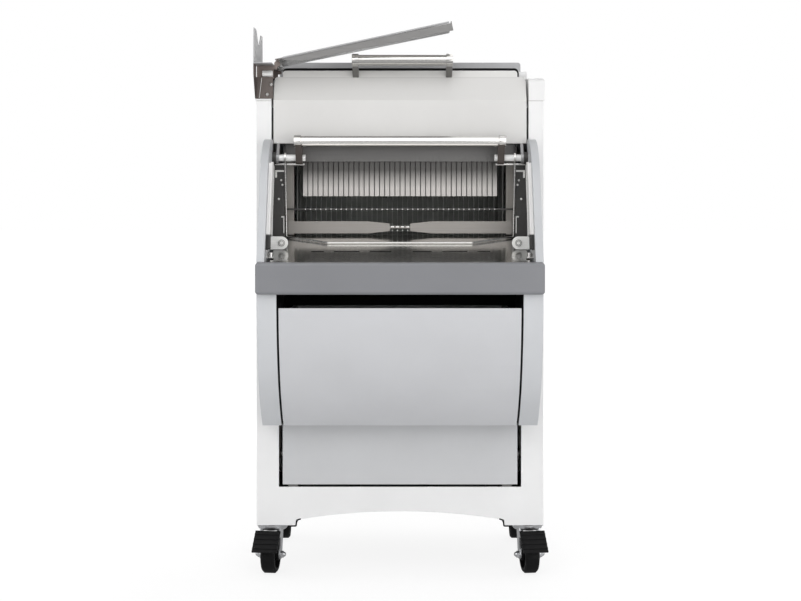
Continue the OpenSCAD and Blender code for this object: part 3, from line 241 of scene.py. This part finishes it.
MATS = {
    "white_paint": paint("white_paint", srgb(245, 245, 245)),
    # Painted light on the hood: the face above the crease is lighter to make up for the scoop tray's shadow,
    # a thin band at the fold is darker as painted shade, and the top rim is lighter as a painted highlight
    # where it faces up.
    "hood_paint": paint("hood_paint", srgb(226, 225, 223), fade=height_fade(
        "hood_cover", (91, 93, 1.07), (140.5, 141.7, 1.0), (143.5, 144.5, 1.14))),
    "grey_panel": paint("grey_panel", srgb(206, 207, 209), 0.42),
    "lid_paint": paint("lid_paint", srgb(186, 186, 188), 0.42),
    "drawer_grey": paint("drawer_grey", srgb(206, 207, 210), 0.42),
    "cheek_plastic": plastic("cheek_plastic", srgb(206, 208, 211)),
    "bumper_plastic": plastic("bumper_plastic", srgb(131, 132, 136), 0.4),
    "stainless": steel("stainless", srgb(205, 204, 202), 0.24, "x"),
    "stainless_z": steel("stainless_z", srgb(190, 189, 187), 0.3, "z"),
    # Painted reflections: the handle tube and its caps are darker along the top and in two steps towards the
    # bottom, as reflected dark surroundings.
    "tube_steel": steel("tube_steel", srgb(230, 228, 225), 0.2, "x", 0.006, grain=0.3, fade=height_fade(
        "handle_tube", (18.3, 20.5, 0.6), (7.0, 4.7, 0.68), (3.7, 1.0, 0.4))),
    # Painted reflections: the grab tube and its collars are darker along the top and in two steps towards the
    # bottom, as reflected dark surroundings.
    "grab_steel": steel("grab_steel", srgb(230, 228, 225), 0.2, "x", 0.006, grain=0.3, fade=height_fade(
        "grab_tube", (22.0, 24.3, 0.6), (16.7, 14.3, 0.72), (8.7, 5.0, 0.5))),
    "bright_steel": steel("bright_steel", srgb(238, 237, 234), 0.3, "x", 0.03, 0.35),
    # Painted highlight: near-white, barely metallic steel makes the pivot shafts and hinge barrel read as
    # bright as their highlights.
    "white_steel_highlight": steel("white_steel_highlight", srgb(250, 250, 248), 0.4, "x", 0.02, 0.1),
    "clamp_steel": steel("clamp_steel", srgb(250, 249, 246), 0.4, "x", 0.02, 0.1),
    # Painted light on the cheek trims: a lighter outer strip as a painted highlight, and nearly black on the
    # lower part as painted shadow.
    "trim_steel": steel("trim_steel", srgb(186, 185, 184), 0.4, "z", 0.02, 0.15, fade=(
        side_fade((262.6, 263.2, 1.9)) + height_fade("cheek_left", (401, 398, 0.02)))),
    # Painted shade: a darker copy of stainless that the scoop tray keeps only on its forward faces; its other
    # faces get stainless further down.
    "tray_steel": steel("tray_steel", srgb(130, 129, 128), 0.36, "x", 0.03, 0.6),
    "fork_steel": steel("fork_steel", srgb(165, 165, 166), 0.36, "z", 0.03, 0.55),
    "bracket_steel": steel("bracket_steel", srgb(98, 90, 86), 0.4, "z", 0.04, 0.45,
                           fade=height_fade("scoop_bracket", (45.5, 46.5, 1.9))),
    "post_steel": steel("post_steel", srgb(112, 110, 108), 0.34, "z", 0.03, 0.7),
    "frame_steel": steel("frame_steel", srgb(150, 146, 141), 0.4, "z", 0.03, 0.4),
    "guard_steel": steel("guard_steel", srgb(152, 148, 144), 0.4, "x", 0.02, 0.4),
    # Painted shadow: the comb is nearly black along its top and lightens downwards, as shade under the hood
    # and beam.
    "comb_steel": steel("comb_steel", srgb(194, 190, 187), 0.38, "z", 0.03, 0.4,
                        fade=height_fade("blade_comb", (17, 56, 0.17))),
    # Painted shade: the loaf table is darker towards both sides, which also dims the clamps' reflections
    # there.
    "polished": steel("polished", srgb(238, 237, 234), 0.14, "x", 0.02, wear=0,
                      fade=side_fade((224, 240, 0.25))),
    # Painted shade: the rear bread tray is stainless, given this darker steel as shade in the blade bay.
    "bay_steel": steel("bay_steel", srgb(150, 152, 148), 0.5, "x", 0.03, 0.2),
    "crown_steel": steel("crown_steel", srgb(108, 109, 110), 0.24, "none", 0.03),
    "dark_steel": steel("dark_steel", srgb(70, 69, 68), 0.42, "x", 0.05, 0.5),
    "beam_steel": steel("beam_steel", srgb(108, 107, 106), 0.42, "x", 0.03, 0.4),
    "blade_steel": steel("blade_steel", srgb(206, 206, 206), 0.34, "z", 0.03, 0.5),
    "cast_blue": paint("cast_blue", srgb(70, 92, 120), 0.5, 0.3, 0.6),
    "belt_rubber": rubber("belt_rubber", srgb(18, 18, 19), 0.75),
    "black_plastic": rubber("black_plastic", srgb(13, 13, 14), 0.55),
    "wheel_rubber": rubber("wheel_rubber", srgb(13, 13, 14), 0.62),
    "zinc": steel("zinc", srgb(196, 197, 199), 0.3, "none", 0.06),
    "bronze_bracket": paint("bronze_bracket", srgb(66, 58, 54), 0.4, 0.1, 0.5),
}

# Nodes that look different from their material slot
OWN = {
    "scoop_tray": "tray_steel", "scoop_fork": "fork_steel", "scoop_bracket": "bracket_steel",
    "chamber_beam": "beam_steel", "rear_bread_tray": "bay_steel", "blade_comb": "comb_steel",
    "cheek_trims": "trim_steel", "hinge_arms": "fork_steel", "pivot_shafts": "white_steel_highlight",
    "blade_frame_front": "frame_steel", "blade_frame_rear": "frame_steel", "blade_guards": "guard_steel",
    "grab_posts": "post_steel", "table_clamps": "clamp_steel", "drawer_runners": "black_plastic",
    "grab_tube": "grab_steel", "rear_lid": "lid_paint", "base_frame": "beam_steel",
    "handle_tube": "tube_steel", "handle_caps": "tube_steel", "caster_plates": "crown_steel",
}
# Edge widths in millimetres: the plain one, and the nodes that differ
PLAIN_EDGE = 0.5
BEVEL = {
    "cheek_left": 3.0, "cheek_right": 3.0, "bumper_bar": 1.0, "hood_cover": 0.8, "drawer_front": 0.9,
    "side_panel_left": 0.8, "side_panel_right": 0.8, "column_caps": 0.8, "base_front": 0.8,
    "lower_front_panel": 0.8, "rear_lid": 0.8, "top_cover": 0.7, "grab_posts": 1.4, "handle_caps": 1.2,
    "handle_brackets": 1.2, "brake_pedal_left": 0.8, "brake_pedal_right": 0.8,
}
NO_BEVEL = {"blades_front", "blades_rear", "blade_comb", "motor", "drive_belt", "loaf_table"}
WELD = 0.01 * MM
FLAT_ANGLE, BEVEL_ANGLE = math.radians(0.3), math.radians(32)
NORMAL_WEIGHT = 80


def dress(obj, mat, width):
    """Gives a CAD node a material, rounded edges and smooth shading."""
    mesh = obj.data
    mesh.materials.clear()
    mesh.materials.append(mat)
    if "custom_normal" in mesh.attributes:
        mesh.attributes.remove(mesh.attributes["custom_normal"])
    mesh.polygons.foreach_set("use_smooth", [True] * len(mesh.polygons))
    weld = obj.modifiers.new("weld", "WELD")
    weld.merge_threshold = WELD
    flat = obj.modifiers.new("flat", "DECIMATE")
    flat.decimate_type = "DISSOLVE"
    flat.angle_limit = FLAT_ANGLE
    if width:
        bev = obj.modifiers.new("bevel", "BEVEL")
        bev.width = width * MM
        bev.segments = 2
        bev.limit_method = "ANGLE"
        bev.angle_limit = BEVEL_ANGLE
        bev.use_clamp_overlap = True
    normal = obj.modifiers.new("normal", "WEIGHTED_NORMAL")
    normal.weight = NORMAL_WEIGHT
    normal.keep_sharp = False


SLOT_OF = {p["node"]: p["material_slot"] for p in frame["record"]["subparts"]}
for node_name, node_obj in NODES.items():
    look = MATS[OWN.get(node_name, SLOT_OF[node_name])]
    dress(node_obj, look, 0 if node_name in NO_BEVEL else BEVEL.get(node_name, PLAIN_EDGE))


# Small pieces
def piece(name, bm, mat, body):
    """Makes a piece from a bmesh in millimetres, gives it a material and ties it to a body."""
    bmesh.ops.recalc_face_normals(bm, faces=bm.faces)
    mesh = bpy.data.meshes.new(name)
    bm.to_mesh(mesh)
    bm.free()
    mesh.transform(Matrix.Scale(MM, 4))
    mesh.materials.append(MATS[mat])
    mesh.polygons.foreach_set("use_smooth", [True] * len(mesh.polygons))
    obj = bpy.data.objects.new(name, mesh)
    bpy.context.scene.collection.objects.link(obj)
    normal = obj.modifiers.new("normal", "WEIGHTED_NORMAL")
    normal.weight = NORMAL_WEIGHT
    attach(obj, body)


def add_box(bm, lo, hi, r):
    """Box with rounded edges between two corners."""
    made = bmesh.ops.create_cube(bm, size=1.0)["verts"]
    for v in made:
        for i in range(3):
            v.co[i] = lo[i] if v.co[i] < 0 else hi[i]
    edges = {e for v in made for e in v.link_edges}
    bmesh.ops.bevel(bm, geom=list(edges), offset=r, segments=2, profile=0.5, affect="EDGES")


def circle(n):
    """Cosine and sine of n even steps around a circle."""
    return [(math.cos(2 * math.pi * k / n), math.sin(2 * math.pi * k / n)) for k in range(n)]


def add_turned(bm, at, axis, profile, n=24):
    """Closed turned form: profile points (radius, height) along the axis, poles where the radius is 0."""
    rot = Vector((0, 0, 1)).rotation_difference(Vector(axis)).to_matrix()
    rings = []
    for r, h in profile:
        spots = [(0, 0)] if r == 0 else [(r * c, r * s) for c, s in circle(n)]
        rings.append([bm.verts.new(rot @ Vector((x, y, h)) + Vector(at)) for x, y in spots])
    for a, b in zip(rings, rings[1:]):
        for k in range(n):
            quad = [a[k % len(a)], a[(k + 1) % len(a)], b[(k + 1) % len(b)], b[k % len(b)]]
            bm.faces.new(list(dict.fromkeys(quad)))


def add_screw(bm, at, axis, r, h):
    """Pan-head screw with a socket."""
    add_turned(bm, at, axis, [
        (0, h * 0.45), (r * 0.42, h * 0.45), (r * 0.46, h * 0.98), (r * 0.7, h), (r * 0.92, h * 0.72),
        (r, h * 0.3), (r, -SINK), (0, -SINK)])


def add_sides(bm, a, b):
    """Faces between two closed loops of as many points."""
    n = len(a)
    for k in range(n):
        bm.faces.new([a[k], a[(k + 1) % n], b[(k + 1) % n], b[k]])


def add_tube(bm, points, r, n=10, flat=1.0):
    """Round or flattened strip along points, closed at its ends; flat scales it across the Y axis."""
    pts = [Vector(p) for p in points]
    rings = []
    for i, p in enumerate(pts):
        way = (pts[min(i + 1, len(pts) - 1)] - pts[max(i - 1, 0)]).normalized()
        side = way.cross(Vector((0, 1, 0))).normalized()
        up = side.cross(way).normalized()
        rings.append([bm.verts.new(p + r * (c * side + flat * s * up)) for c, s in circle(n)])
    for a, b in zip(rings, rings[1:]):
        add_sides(bm, a, b)
    bm.faces.new(rings[0])
    bm.faces.new(rings[-1][::-1])


def add_plate(bm, x0, x1, outline):
    """Flat plate between two X places, its outline given as (y, z) points."""
    ends = [[bm.verts.new((x, y, z)) for y, z in outline] for x in (x0, x1)]
    add_sides(bm, *ends)
    bm.faces.new(ends[0])
    bm.faces.new(ends[1][::-1])


def bend(a, b, c, cut, n=4):
    """Points of a rounded corner at b between a and c."""
    a, b, c = Vector(a), Vector(b), Vector(c)
    p, q = b + (a - b).normalized() * cut, b + (c - b).normalized() * cut
    return [p.lerp(b, t).lerp(b.lerp(q, t), t) for t in (k / n for k in range(n + 1))]


def both(fill):
    """Runs fill(bm, side) for the right and the left of one piece."""
    bm = bmesh.new()
    for side in (1, -1):
        fill(bm, side)
    return bm


def across(side, x0, x1):
    """The lower and the higher X of a range that is given for the right side."""
    return sorted((side * x0, side * x1))


def in_row(count):
    """X places of that many pieces at the blades' pitch, even about the middle."""
    return [(k - (count - 1) / 2) * PITCH for k in range(count)]


# Directions; then in mm the front and rear faces, the depth of a fastener's seat and the blade pitch
FRONT, BACK = (0, -1, 0), (0, 1, 0)
Y_FACE = box_mm("side_panel_left")[0].y
Y_BACK = box_mm("rear_panel")[1].y
SINK = 0.3
PITCH = 11


def hood_seal_and_gap_shade():
    """Black rubber seal behind the hood's top rim, thick enough to stand in as painted shadow of the gap
    there; (x, z) of its ends from the hood's top corners.
    """
    radius, corner, behind, above = 2.6, 6, 2.5, 3.8
    left = [(18, -12), (19, above)]
    right = [(-17, above), (-13.5, -16), (-13.5, -15)]
    lo, hi = box_mm("hood_cover")
    y = hi.y + behind
    middle = (0, y, hi.z + above)
    foot_l, top_l = [(lo.x + x, y, hi.z + z) for x, z in left]
    top_r, foot_r, end_r = [(hi.x + x, y, hi.z + z) for x, z in right]
    path = [foot_l, *bend(foot_l, top_l, middle, corner), *bend(middle, top_r, foot_r, corner), end_r]
    bm = bmesh.new()
    add_tube(bm, path, radius)
    piece("hood_seal_and_gap_shade", bm, "belt_rubber", "machine_body")


def grab_collars():
    """Collars over both ends of the grab handle's tube, each with a dished face."""
    r, length, heel, nose, dish_r, dish = 13.8, 13.8, 0.5, 0.8, 11.6, 0.4
    profile = [(0, 0), (r - heel, 0), (r, heel), (r, length - nose), (r - nose, length), (dish_r, length),
               (dish_r - dish, length - dish), (0, length - dish)]
    lo, hi = box_mm("grab_tube")
    y = (lo.y + hi.y) / 2
    z = lo.z + (hi.y - lo.y) / 2
    bm = bmesh.new()
    for x, side in ((hi.x - SINK, 1), (lo.x + SINK, -1)):
        add_turned(bm, (x, y, z), (side, 0, 0), profile, 40)
    piece("grab_collars", bm, "grab_steel", "hood")


def on_bracket(places):
    """Places that are given from the scoop bracket's lowest corner."""
    foot = box_mm("scoop_bracket")[0]
    return [foot + Vector(p) for p in places]


def bracket_bolts():
    """Two socket bolts with washers on the scoop bracket's face."""
    places = [(32, 0, 30), (23.5, 0, 9)]
    profile = [(0, 1.4), (1.3, 1.4), (1.5, 2.2), (2.4, 2.2), (2.9, 1.6), (3.0, 0.8), (3.8, 0.6),
               (3.8, -SINK), (0, -SINK)]
    bm = bmesh.new()
    for at in on_bracket(places):
        add_turned(bm, at, FRONT, profile)
    piece("bracket_bolts", bm, "stainless_z", "machine_body")


def hinge_barrel():
    """Hinge barrel of the scoop bracket, with a groove round it."""
    start = on_bracket([(12.5, 6.8, 53.4)])[0]
    r, length, edge = 6.9, 22, 0.7
    groove = [(r, 8.6), (6.4, 9.0), (6.4, 9.6), (r, 10.0)]
    profile = [(0, 0), (r - edge, 0), (r, edge), *groove, (r, length - edge), (r - edge, length), (0, length)]
    bm = bmesh.new()
    add_turned(bm, start, (1, 0, 0), profile, 32)
    piece("hinge_barrel", bm, "white_steel_highlight", "machine_body")


def bracket_rib():
    """Thin folded edge down the scoop bracket's face."""
    path, radius = [(11.7, -0.1, 44.6), (9, -0.1, 23), (6.5, -0.1, 1.4)], 1.0
    bm = bmesh.new()
    add_tube(bm, on_bracket(path), radius, 8)
    piece("bracket_rib", bm, "stainless_z", "machine_body")


# The scoop's outer plates lie just inside the fork's outer face
PLATE_IN, PLATE_THICK = 0.1, 1.8
PLATE_X = [box_mm("scoop_fork")[0].x + d for d in (PLATE_IN, PLATE_IN + PLATE_THICK)]


def fork_horns():
    """Blunt outer plates of the fork's two prongs; (y, z) from the fork's front or rear edge and its foot."""
    front = [(8, 74), (16, 76), (60, 76), (68, 74), (72, 70), (116, 47), (113, 44)]
    rear = [(-8, 74), (-16, 76), (-38, 76), (-46, 74), (-50, 70), (-94, 47), (-98, 47), (-96, 44)]
    lo, hi = box_mm("scoop_fork")
    bm = bmesh.new()
    for edge, outline in ((lo.y, front), (hi.y, rear)):
        add_plate(bm, *PLATE_X, [(edge + y, lo.z + z) for y, z in outline])
    piece("fork_horns", bm, "fork_steel", "machine_body")


def bracket_side():
    """Side plate of the scoop bracket; (y, z) from the bracket's face and foot."""
    outline = [(-50, 70.6), (-50, 51), (-46, 45), (-8, 2), (-4, 0.4), (1.6, 0.4), (1.6, 70.6)]
    bm = bmesh.new()
    add_plate(bm, *PLATE_X, [at.yz for at in on_bracket([(0, y, z) for y, z in outline])])
    piece("bracket_side", bm, "bracket_steel", "machine_body")


def tray_bead():
    """Rolled front edge of the scoop tray, up its slope."""
    slope, radius = [(-246, 15.3), (-70, 53), (103, 90.1)], 2.2
    lo = box_mm("scoop_tray")[0]
    bm = bmesh.new()
    add_tube(bm, [(x, lo.y, lo.z + up) for x, up in slope], radius)
    piece("tray_bead", bm, "fork_steel", "scoop")


def liner_details():
    """Bars and screws on the liners; a bar is its X range, how far it stands out, its Z range and edges."""
    bars = [(247, 266, 3.6, 857.5, 861.5, 0.8), (262, 266, 3.0, 845, 857.5, 0.6),
            (247, 253, 2.5, 760.5, 763.5, 0.6), (246.4, 248.4, 2.5, 727, 763.5, 0.6)]
    screws, screw_r, screw_h = [(253, 840), (250.5, 830), (258, 800)], 2.2, 1.6
    face = box_mm("liners")[0].y

    def fill(bm, s):
        for x0, x1, out, z0, z1, r in bars:
            a, b = across(s, x0, x1)
            add_box(bm, (a, face - out, z0), (b, face, z1), r)
        for x, z in screws:
            add_screw(bm, (s * x, face, z), FRONT, screw_r, screw_h)
    piece("liner_details", both(fill), "bright_steel", "machine_body")


def side_wires():
    """Thin wires that follow the cheeks' inner edges."""
    path, radius = [(267.6, -112, 872), (267.4, -124, 850), (266.6, -194, 724)], 1.2

    def fill(bm, s):
        add_tube(bm, [(s * x, y, z) for x, y, z in path], radius, 8)
    piece("side_wires", both(fill), "bright_steel", "machine_body")


def hinge_rails():
    """Rails under the pivot shafts."""
    inner, outer, proud, sunk, below, height, edge = 203, 266, 3, 1, 4.2, 4.2, 0.8
    top = box_mm("pivot_shafts")[0].z - below

    def fill(bm, s):
        a, b = across(s, inner, outer)
        add_box(bm, (a, Y_FACE - proud, top - height), (b, Y_FACE + sunk, top), edge)
    piece("hinge_rails", both(fill), "stainless", "machine_body")


def arch_edges():
    """Dark edges at the ends of the base front's arch; (x, z) from the middle and the base's foot."""
    line = [(238, -1.4), (221, -1.4), (220, 11), (211, 13.8)]
    radius, flat, corner, behind = 1.7, 1.4, 2, 0.8
    foot = box_mm("base_front")[0].z

    def fill(bm, s):
        p = [(s * x, Y_FACE + behind, foot + z) for x, z in line]
        add_tube(bm, [p[0], *bend(*p[:3], corner), *bend(*p[1:], corner), p[3]], radius, 8, flat)
    piece("arch_edges", both(fill), "belt_rubber", "machine_body")


def clamp_middle(s):
    """Place of a clamp plate's screw, just in its face."""
    from_side, sunk = 24.5, 0.1
    lo, hi = box_mm("table_clamps")
    return (s * (hi.x - from_side), lo.y + sunk, (lo.z + hi.z) / 2)


def clamp_rings():
    """Screw head with a stepped ring on each clamp plate."""
    profile = [(0, 0.6), (1.6, 0.6), (1.8, 1.4), (3.6, 1.4), (3.9, 0.5), (4.6, 0.5), (4.9, 1.3), (5.7, 1.2),
               (6.2, 0.4), (6.2, -SINK), (0, -SINK)]

    def fill(bm, s):
        add_turned(bm, clamp_middle(s), FRONT, profile, 28)
    piece("clamp_rings", both(fill), "clamp_steel", "machine_body")


def clamp_groove_shade():
    """Two dark bands round the screw on each clamp plate, painted shade in the ring's groove and round its
    edge.
    """
    radii, half, height = (4.2, 6.4), 0.4, 1.5

    def fill(bm, s):
        for r in radii:
            band = [(r - half, 0), (r - half, height), (r + half, height), (r + half, 0), (r - half, 0)]
            add_turned(bm, clamp_middle(s), FRONT, band, 28)
    piece("clamp_groove_shade", both(fill), "post_steel", "machine_body")


def tip_pins():
    """Pins between the guards' tips: half width, how far out, Z range from the guards' foot and edges."""
    pins = [(3.6, 2.2, 14.6, 18.0, 0.6), (1.2, 1.8, 7.4, 9.4, 0.4)]
    lo = box_mm("blade_guards")[0]
    bm = bmesh.new()
    for x in in_row(4):
        for half, out, z0, z1, r in pins:
            add_box(bm, (x - half, lo.y - out, lo.z + z0), (x + half, lo.y, lo.z + z1), r)
    piece("tip_pins", bm, "bright_steel", "machine_body")


def button_tips():
    """Round tips on the guide buttons between the blades."""
    profile = [(0, 1.1), (0.9, 0.9), (1.5, 0.4), (1.6, -SINK), (0, -SINK)]
    lo, hi = box_mm("blade_guide_bar")
    bm = bmesh.new()
    for x in in_row(38):
        add_turned(bm, (x, lo.y, (lo.z + hi.z) / 2), FRONT, profile, 12)
    piece("button_tips", bm, "bright_steel", "machine_body")


def cap_seams():
    """Thin seams where the column caps sit on the side panels."""
    inner, outer, proud, sunk, height, edge = 271.5, 304.4, 0.25, 0.5, 0.8, 0.15
    top = box_mm("column_caps")[0].z

    def fill(bm, s):
        a, b = across(s, inner, outer)
        add_box(bm, (a, Y_FACE - proud, top - height), (b, Y_FACE + sunk, top), edge)
    piece("cap_seams", both(fill), "frame_steel", "machine_body")


def panel_screws():
    """Screws of the rear panel and of the side panels' rear edges."""
    top, rear_x, side_y = 985, 268, 332
    rear_z, side_z, top_x = (175, 420, 665, 910, top), (185, 470, 755, top), (-130, 0, 130)
    rear_size, side_size = (4.2, 2.6), (3.6, 1.8)
    side_x = box_mm("side_panel_right")[1].x
    bm = bmesh.new()
    for s in (1, -1):
        for z in rear_z:
            add_screw(bm, (s * rear_x, Y_BACK, z), BACK, *rear_size)
        for z in side_z:
            add_screw(bm, (s * side_x, side_y, z), (s, 0, 0), *side_size)
    for x in top_x:
        add_screw(bm, (x, Y_BACK, top), BACK, *rear_size)
    piece("panel_screws", bm, "zinc", "machine_body")


def louvre_hoods():
    """Curved sheet hoods over the rear panel's louvres."""
    count, first, step, half_w = 8, 209, 22, 103
    out, rise, lift, sheet, n = 7.0, 10.0, 1.0, 1.2, 9
    bm = bmesh.new()
    for i in range(count):
        z = first + i * step
        turns = [math.pi / 2 * k / (n - 1) for k in range(n)]
        outer = [(Y_BACK + out * math.sin(t), z + rise * math.cos(t) + lift) for t in turns]
        inner = [(y - sheet if y > Y_BACK + sheet else y, zz - sheet) for y, zz in outer]
        loop = outer + inner[::-1]
        ends = [[bm.verts.new((x, y, zz)) for y, zz in loop] for x in (-half_w, half_w)]
        add_sides(bm, *ends)
        last = len(loop) - 1
        for e in ends:
            for k in range(n - 1):
                bm.faces.new([e[k], e[k + 1], e[last - 1 - k], e[last - k]])
    piece("louvre_hoods", bm, "white_paint", "machine_body")


for make in (hood_seal_and_gap_shade, grab_collars, bracket_bolts, hinge_barrel, bracket_rib, fork_horns, bracket_side,
             tray_bead, liner_details, side_wires, hinge_rails, arch_edges, clamp_rings, clamp_groove_shade,
             tip_pins, button_tips, cap_seams, panel_screws, louvre_hoods):
    make()


def second_look(node, mat, chosen):
    """Gives the chosen faces of a CAD node a second material."""
    mesh = NODES[node].data
    mesh.materials.append(MATS[mat])
    for face in mesh.polygons:
        if chosen(face):
            face.material_index = 1


# Places in metres: the drawer bay's top and half width, and half the width that holds the table's slots
BAY_TOP, BAY_X, SLOT_X = 0.68, 0.25, 0.24
FACING, TILTED = 0.9, 0.5
# Painted shadow: the cheeks' inward faces low in the drawer bay are made black.
for cheek, inward in (("cheek_left", 1), ("cheek_right", -1)):
    second_look(cheek, "black_plastic", lambda f: (
        f.normal.x * inward > FACING and f.center.z < BAY_TOP and abs(f.center.x) < BAY_X))
# Painted shade: only the scoop tray's forward faces keep the darker tray steel, the rest get stainless.
second_look("scoop_tray", "stainless", lambda f: f.normal.y > -TILTED)
# Painted shade: the upright walls of the loaf table's slots are made black.
second_look("loaf_table", "black_plastic", lambda f: abs(f.normal.z) < TILTED and abs(f.center.x) < SLOT_X)


# Stage
def seen_directly(g):
    """Two values: 1 for camera, glossy and transmitted rays, and 1 for glossy rays alone."""
    path = g.add("ShaderNodeLightPath")
    glossy = path.outputs["Is Glossy Ray"]
    seen = g.math("MAXIMUM", path.outputs["Is Camera Ray"], glossy)
    return g.math("MAXIMUM", seen, path.outputs["Is Transmission Ray"]), glossy


def flat(name, corners, mat):
    """A stage plane with that material."""
    mesh = bpy.data.meshes.new(name)
    mesh.from_pydata(corners, [], [(0, 1, 2, 3)])
    mesh.materials.append(mat)
    obj = bpy.data.objects.new(name, mesh)
    bpy.context.scene.collection.objects.link(obj)
    return obj


def floor():
    """Pale floor that keeps the shadow near the machine and fades to white far from it."""
    g = Graph("floor_pale")
    seen, glossy = seen_directly(g)
    shown = g.mix(g.span(g.noise(3.0), 0.0, 1.0), srgb(119, 119, 119), srgb(123, 123, 123))
    g.set("Base Color", g.mix(seen, srgb(248, 248, 248), shown))
    g.set("Roughness", 0.8)
    g.set("Specular IOR Level", 0.0)
    far = g.add("ShaderNodeVectorMath", operation="LENGTH")
    g.link(g.coord, far.inputs[0])
    fade = g.span(far.outputs["Value"], 0.86, 1.0, 0.6, 2.2)
    g.set("Emission Color", (1, 1, 1, 1))
    level = g.math("SUBTRACT", seen, g.math("MULTIPLY", glossy, 0.55))
    g.set("Emission Strength", g.math("MULTIPLY", fade, level))
    reach = 40
    flat("floor", [(-reach, -reach, 0), (reach, -reach, 0), (reach, reach, 0), (-reach, reach, 0)], g.mat)


def card(name, half_w, y, top, level):
    """Upright card that only reflections see, a little uneven."""
    g = Graph(name)
    g.set("Base Color", (0, 0, 0, 1))
    g.set("Specular IOR Level", 0.0)
    g.set("Emission Color", (1, 1, 1, 1))
    g.set("Emission Strength", g.span(g.noise(0.4, 2.0), level * 0.85, level * 1.15))
    obj = flat(name, [(-half_w, y, 0), (half_w, y, 0), (half_w, y, top), (-half_w, y, top)], g.mat)
    obj.visible_camera = False
    obj.visible_diffuse = False
    obj.visible_shadow = False
    obj.visible_transmission = False


def lamp(name, at, aim, size, watts):
    """Square area lamp that points at a place."""
    data = bpy.data.lights.new(name, "AREA")
    data.size = size
    data.energy = watts
    obj = bpy.data.objects.new(name, data)
    obj.location = at
    obj.rotation_euler = (Vector(aim) - Vector(at)).to_track_quat("-Z", "Y").to_euler()
    bpy.context.scene.collection.objects.link(obj)


def world():
    """White surroundings: full where they are seen, dimmer as light on matt surfaces."""
    w = bpy.data.worlds.new("studio")
    bpy.context.scene.world = w
    w.use_nodes = True
    t = w.node_tree
    back = t.nodes["Background"]
    back.inputs["Color"].default_value = (1, 1, 1, 1)
    path = t.nodes.new("ShaderNodeLightPath")
    seen = path.outputs["Is Camera Ray"]
    for ray in ("Is Glossy Ray", "Is Transmission Ray"):
        either = t.nodes.new("ShaderNodeMath")
        either.operation = "MAXIMUM"
        t.links.new(seen, either.inputs[0])
        t.links.new(path.outputs[ray], either.inputs[1])
        seen = either.outputs[0]
    level = t.nodes.new("ShaderNodeMapRange")
    level.inputs["To Min"].default_value = 0.27
    level.inputs["To Max"].default_value = 1.0
    t.links.new(seen, level.inputs["Value"])
    t.links.new(level.outputs["Result"], back.inputs["Strength"])


def camera():
    """Level camera in front of the machine, shifted so that its frame is the photograph's."""
    data = bpy.data.cameras.new("camera")
    data.sensor_width = 36.0
    data.lens = 76.1
    data.shift_x = 0.0006
    data.shift_y = -0.125
    data.dof.use_dof = False
    data.clip_end = 50
    obj = bpy.data.objects.new("camera", data)
    obj.location = (0.0, -3.710, 0.797)
    obj.rotation_euler = (math.radians(90), 0, 0)
    bpy.context.scene.collection.objects.link(obj)
    bpy.context.scene.camera = obj


floor()
card("card_front", 3.4, -5.0, 3.2, 0.38)
card("card_back", 5.0, 3.4, 5.2, 0.13)
world()
camera()
lamp("key", (-1.6, -3.0, 1.4), (0, -0.1, 0.5), 2.8, 23)
lamp("fill", (1.6, -3.0, 0.5), (0, -0.1, 0.2), 2.4, 41)
lamp("top", (-0.3, -2.5, 2.6), (0, 0.0, 0.9), 2.4, 22)
lamp("back", (0.6, 3.2, 2.0), (0, 0.2, 0.6), 2.2, 40)
lamp("left", (-3.2, 0.7, 1.5), (0, 0.1, 0.6), 2.2, 17)
lamp("right", (3.2, 0.7, 1.5), (0, 0.1, 0.6), 2.2, 15)
lamp("over", (0.0, 1.2, 3.4), (0, 0.15, 1.0), 2.4, 14)

bpy.context.scene.view_settings.view_transform = "Standard"
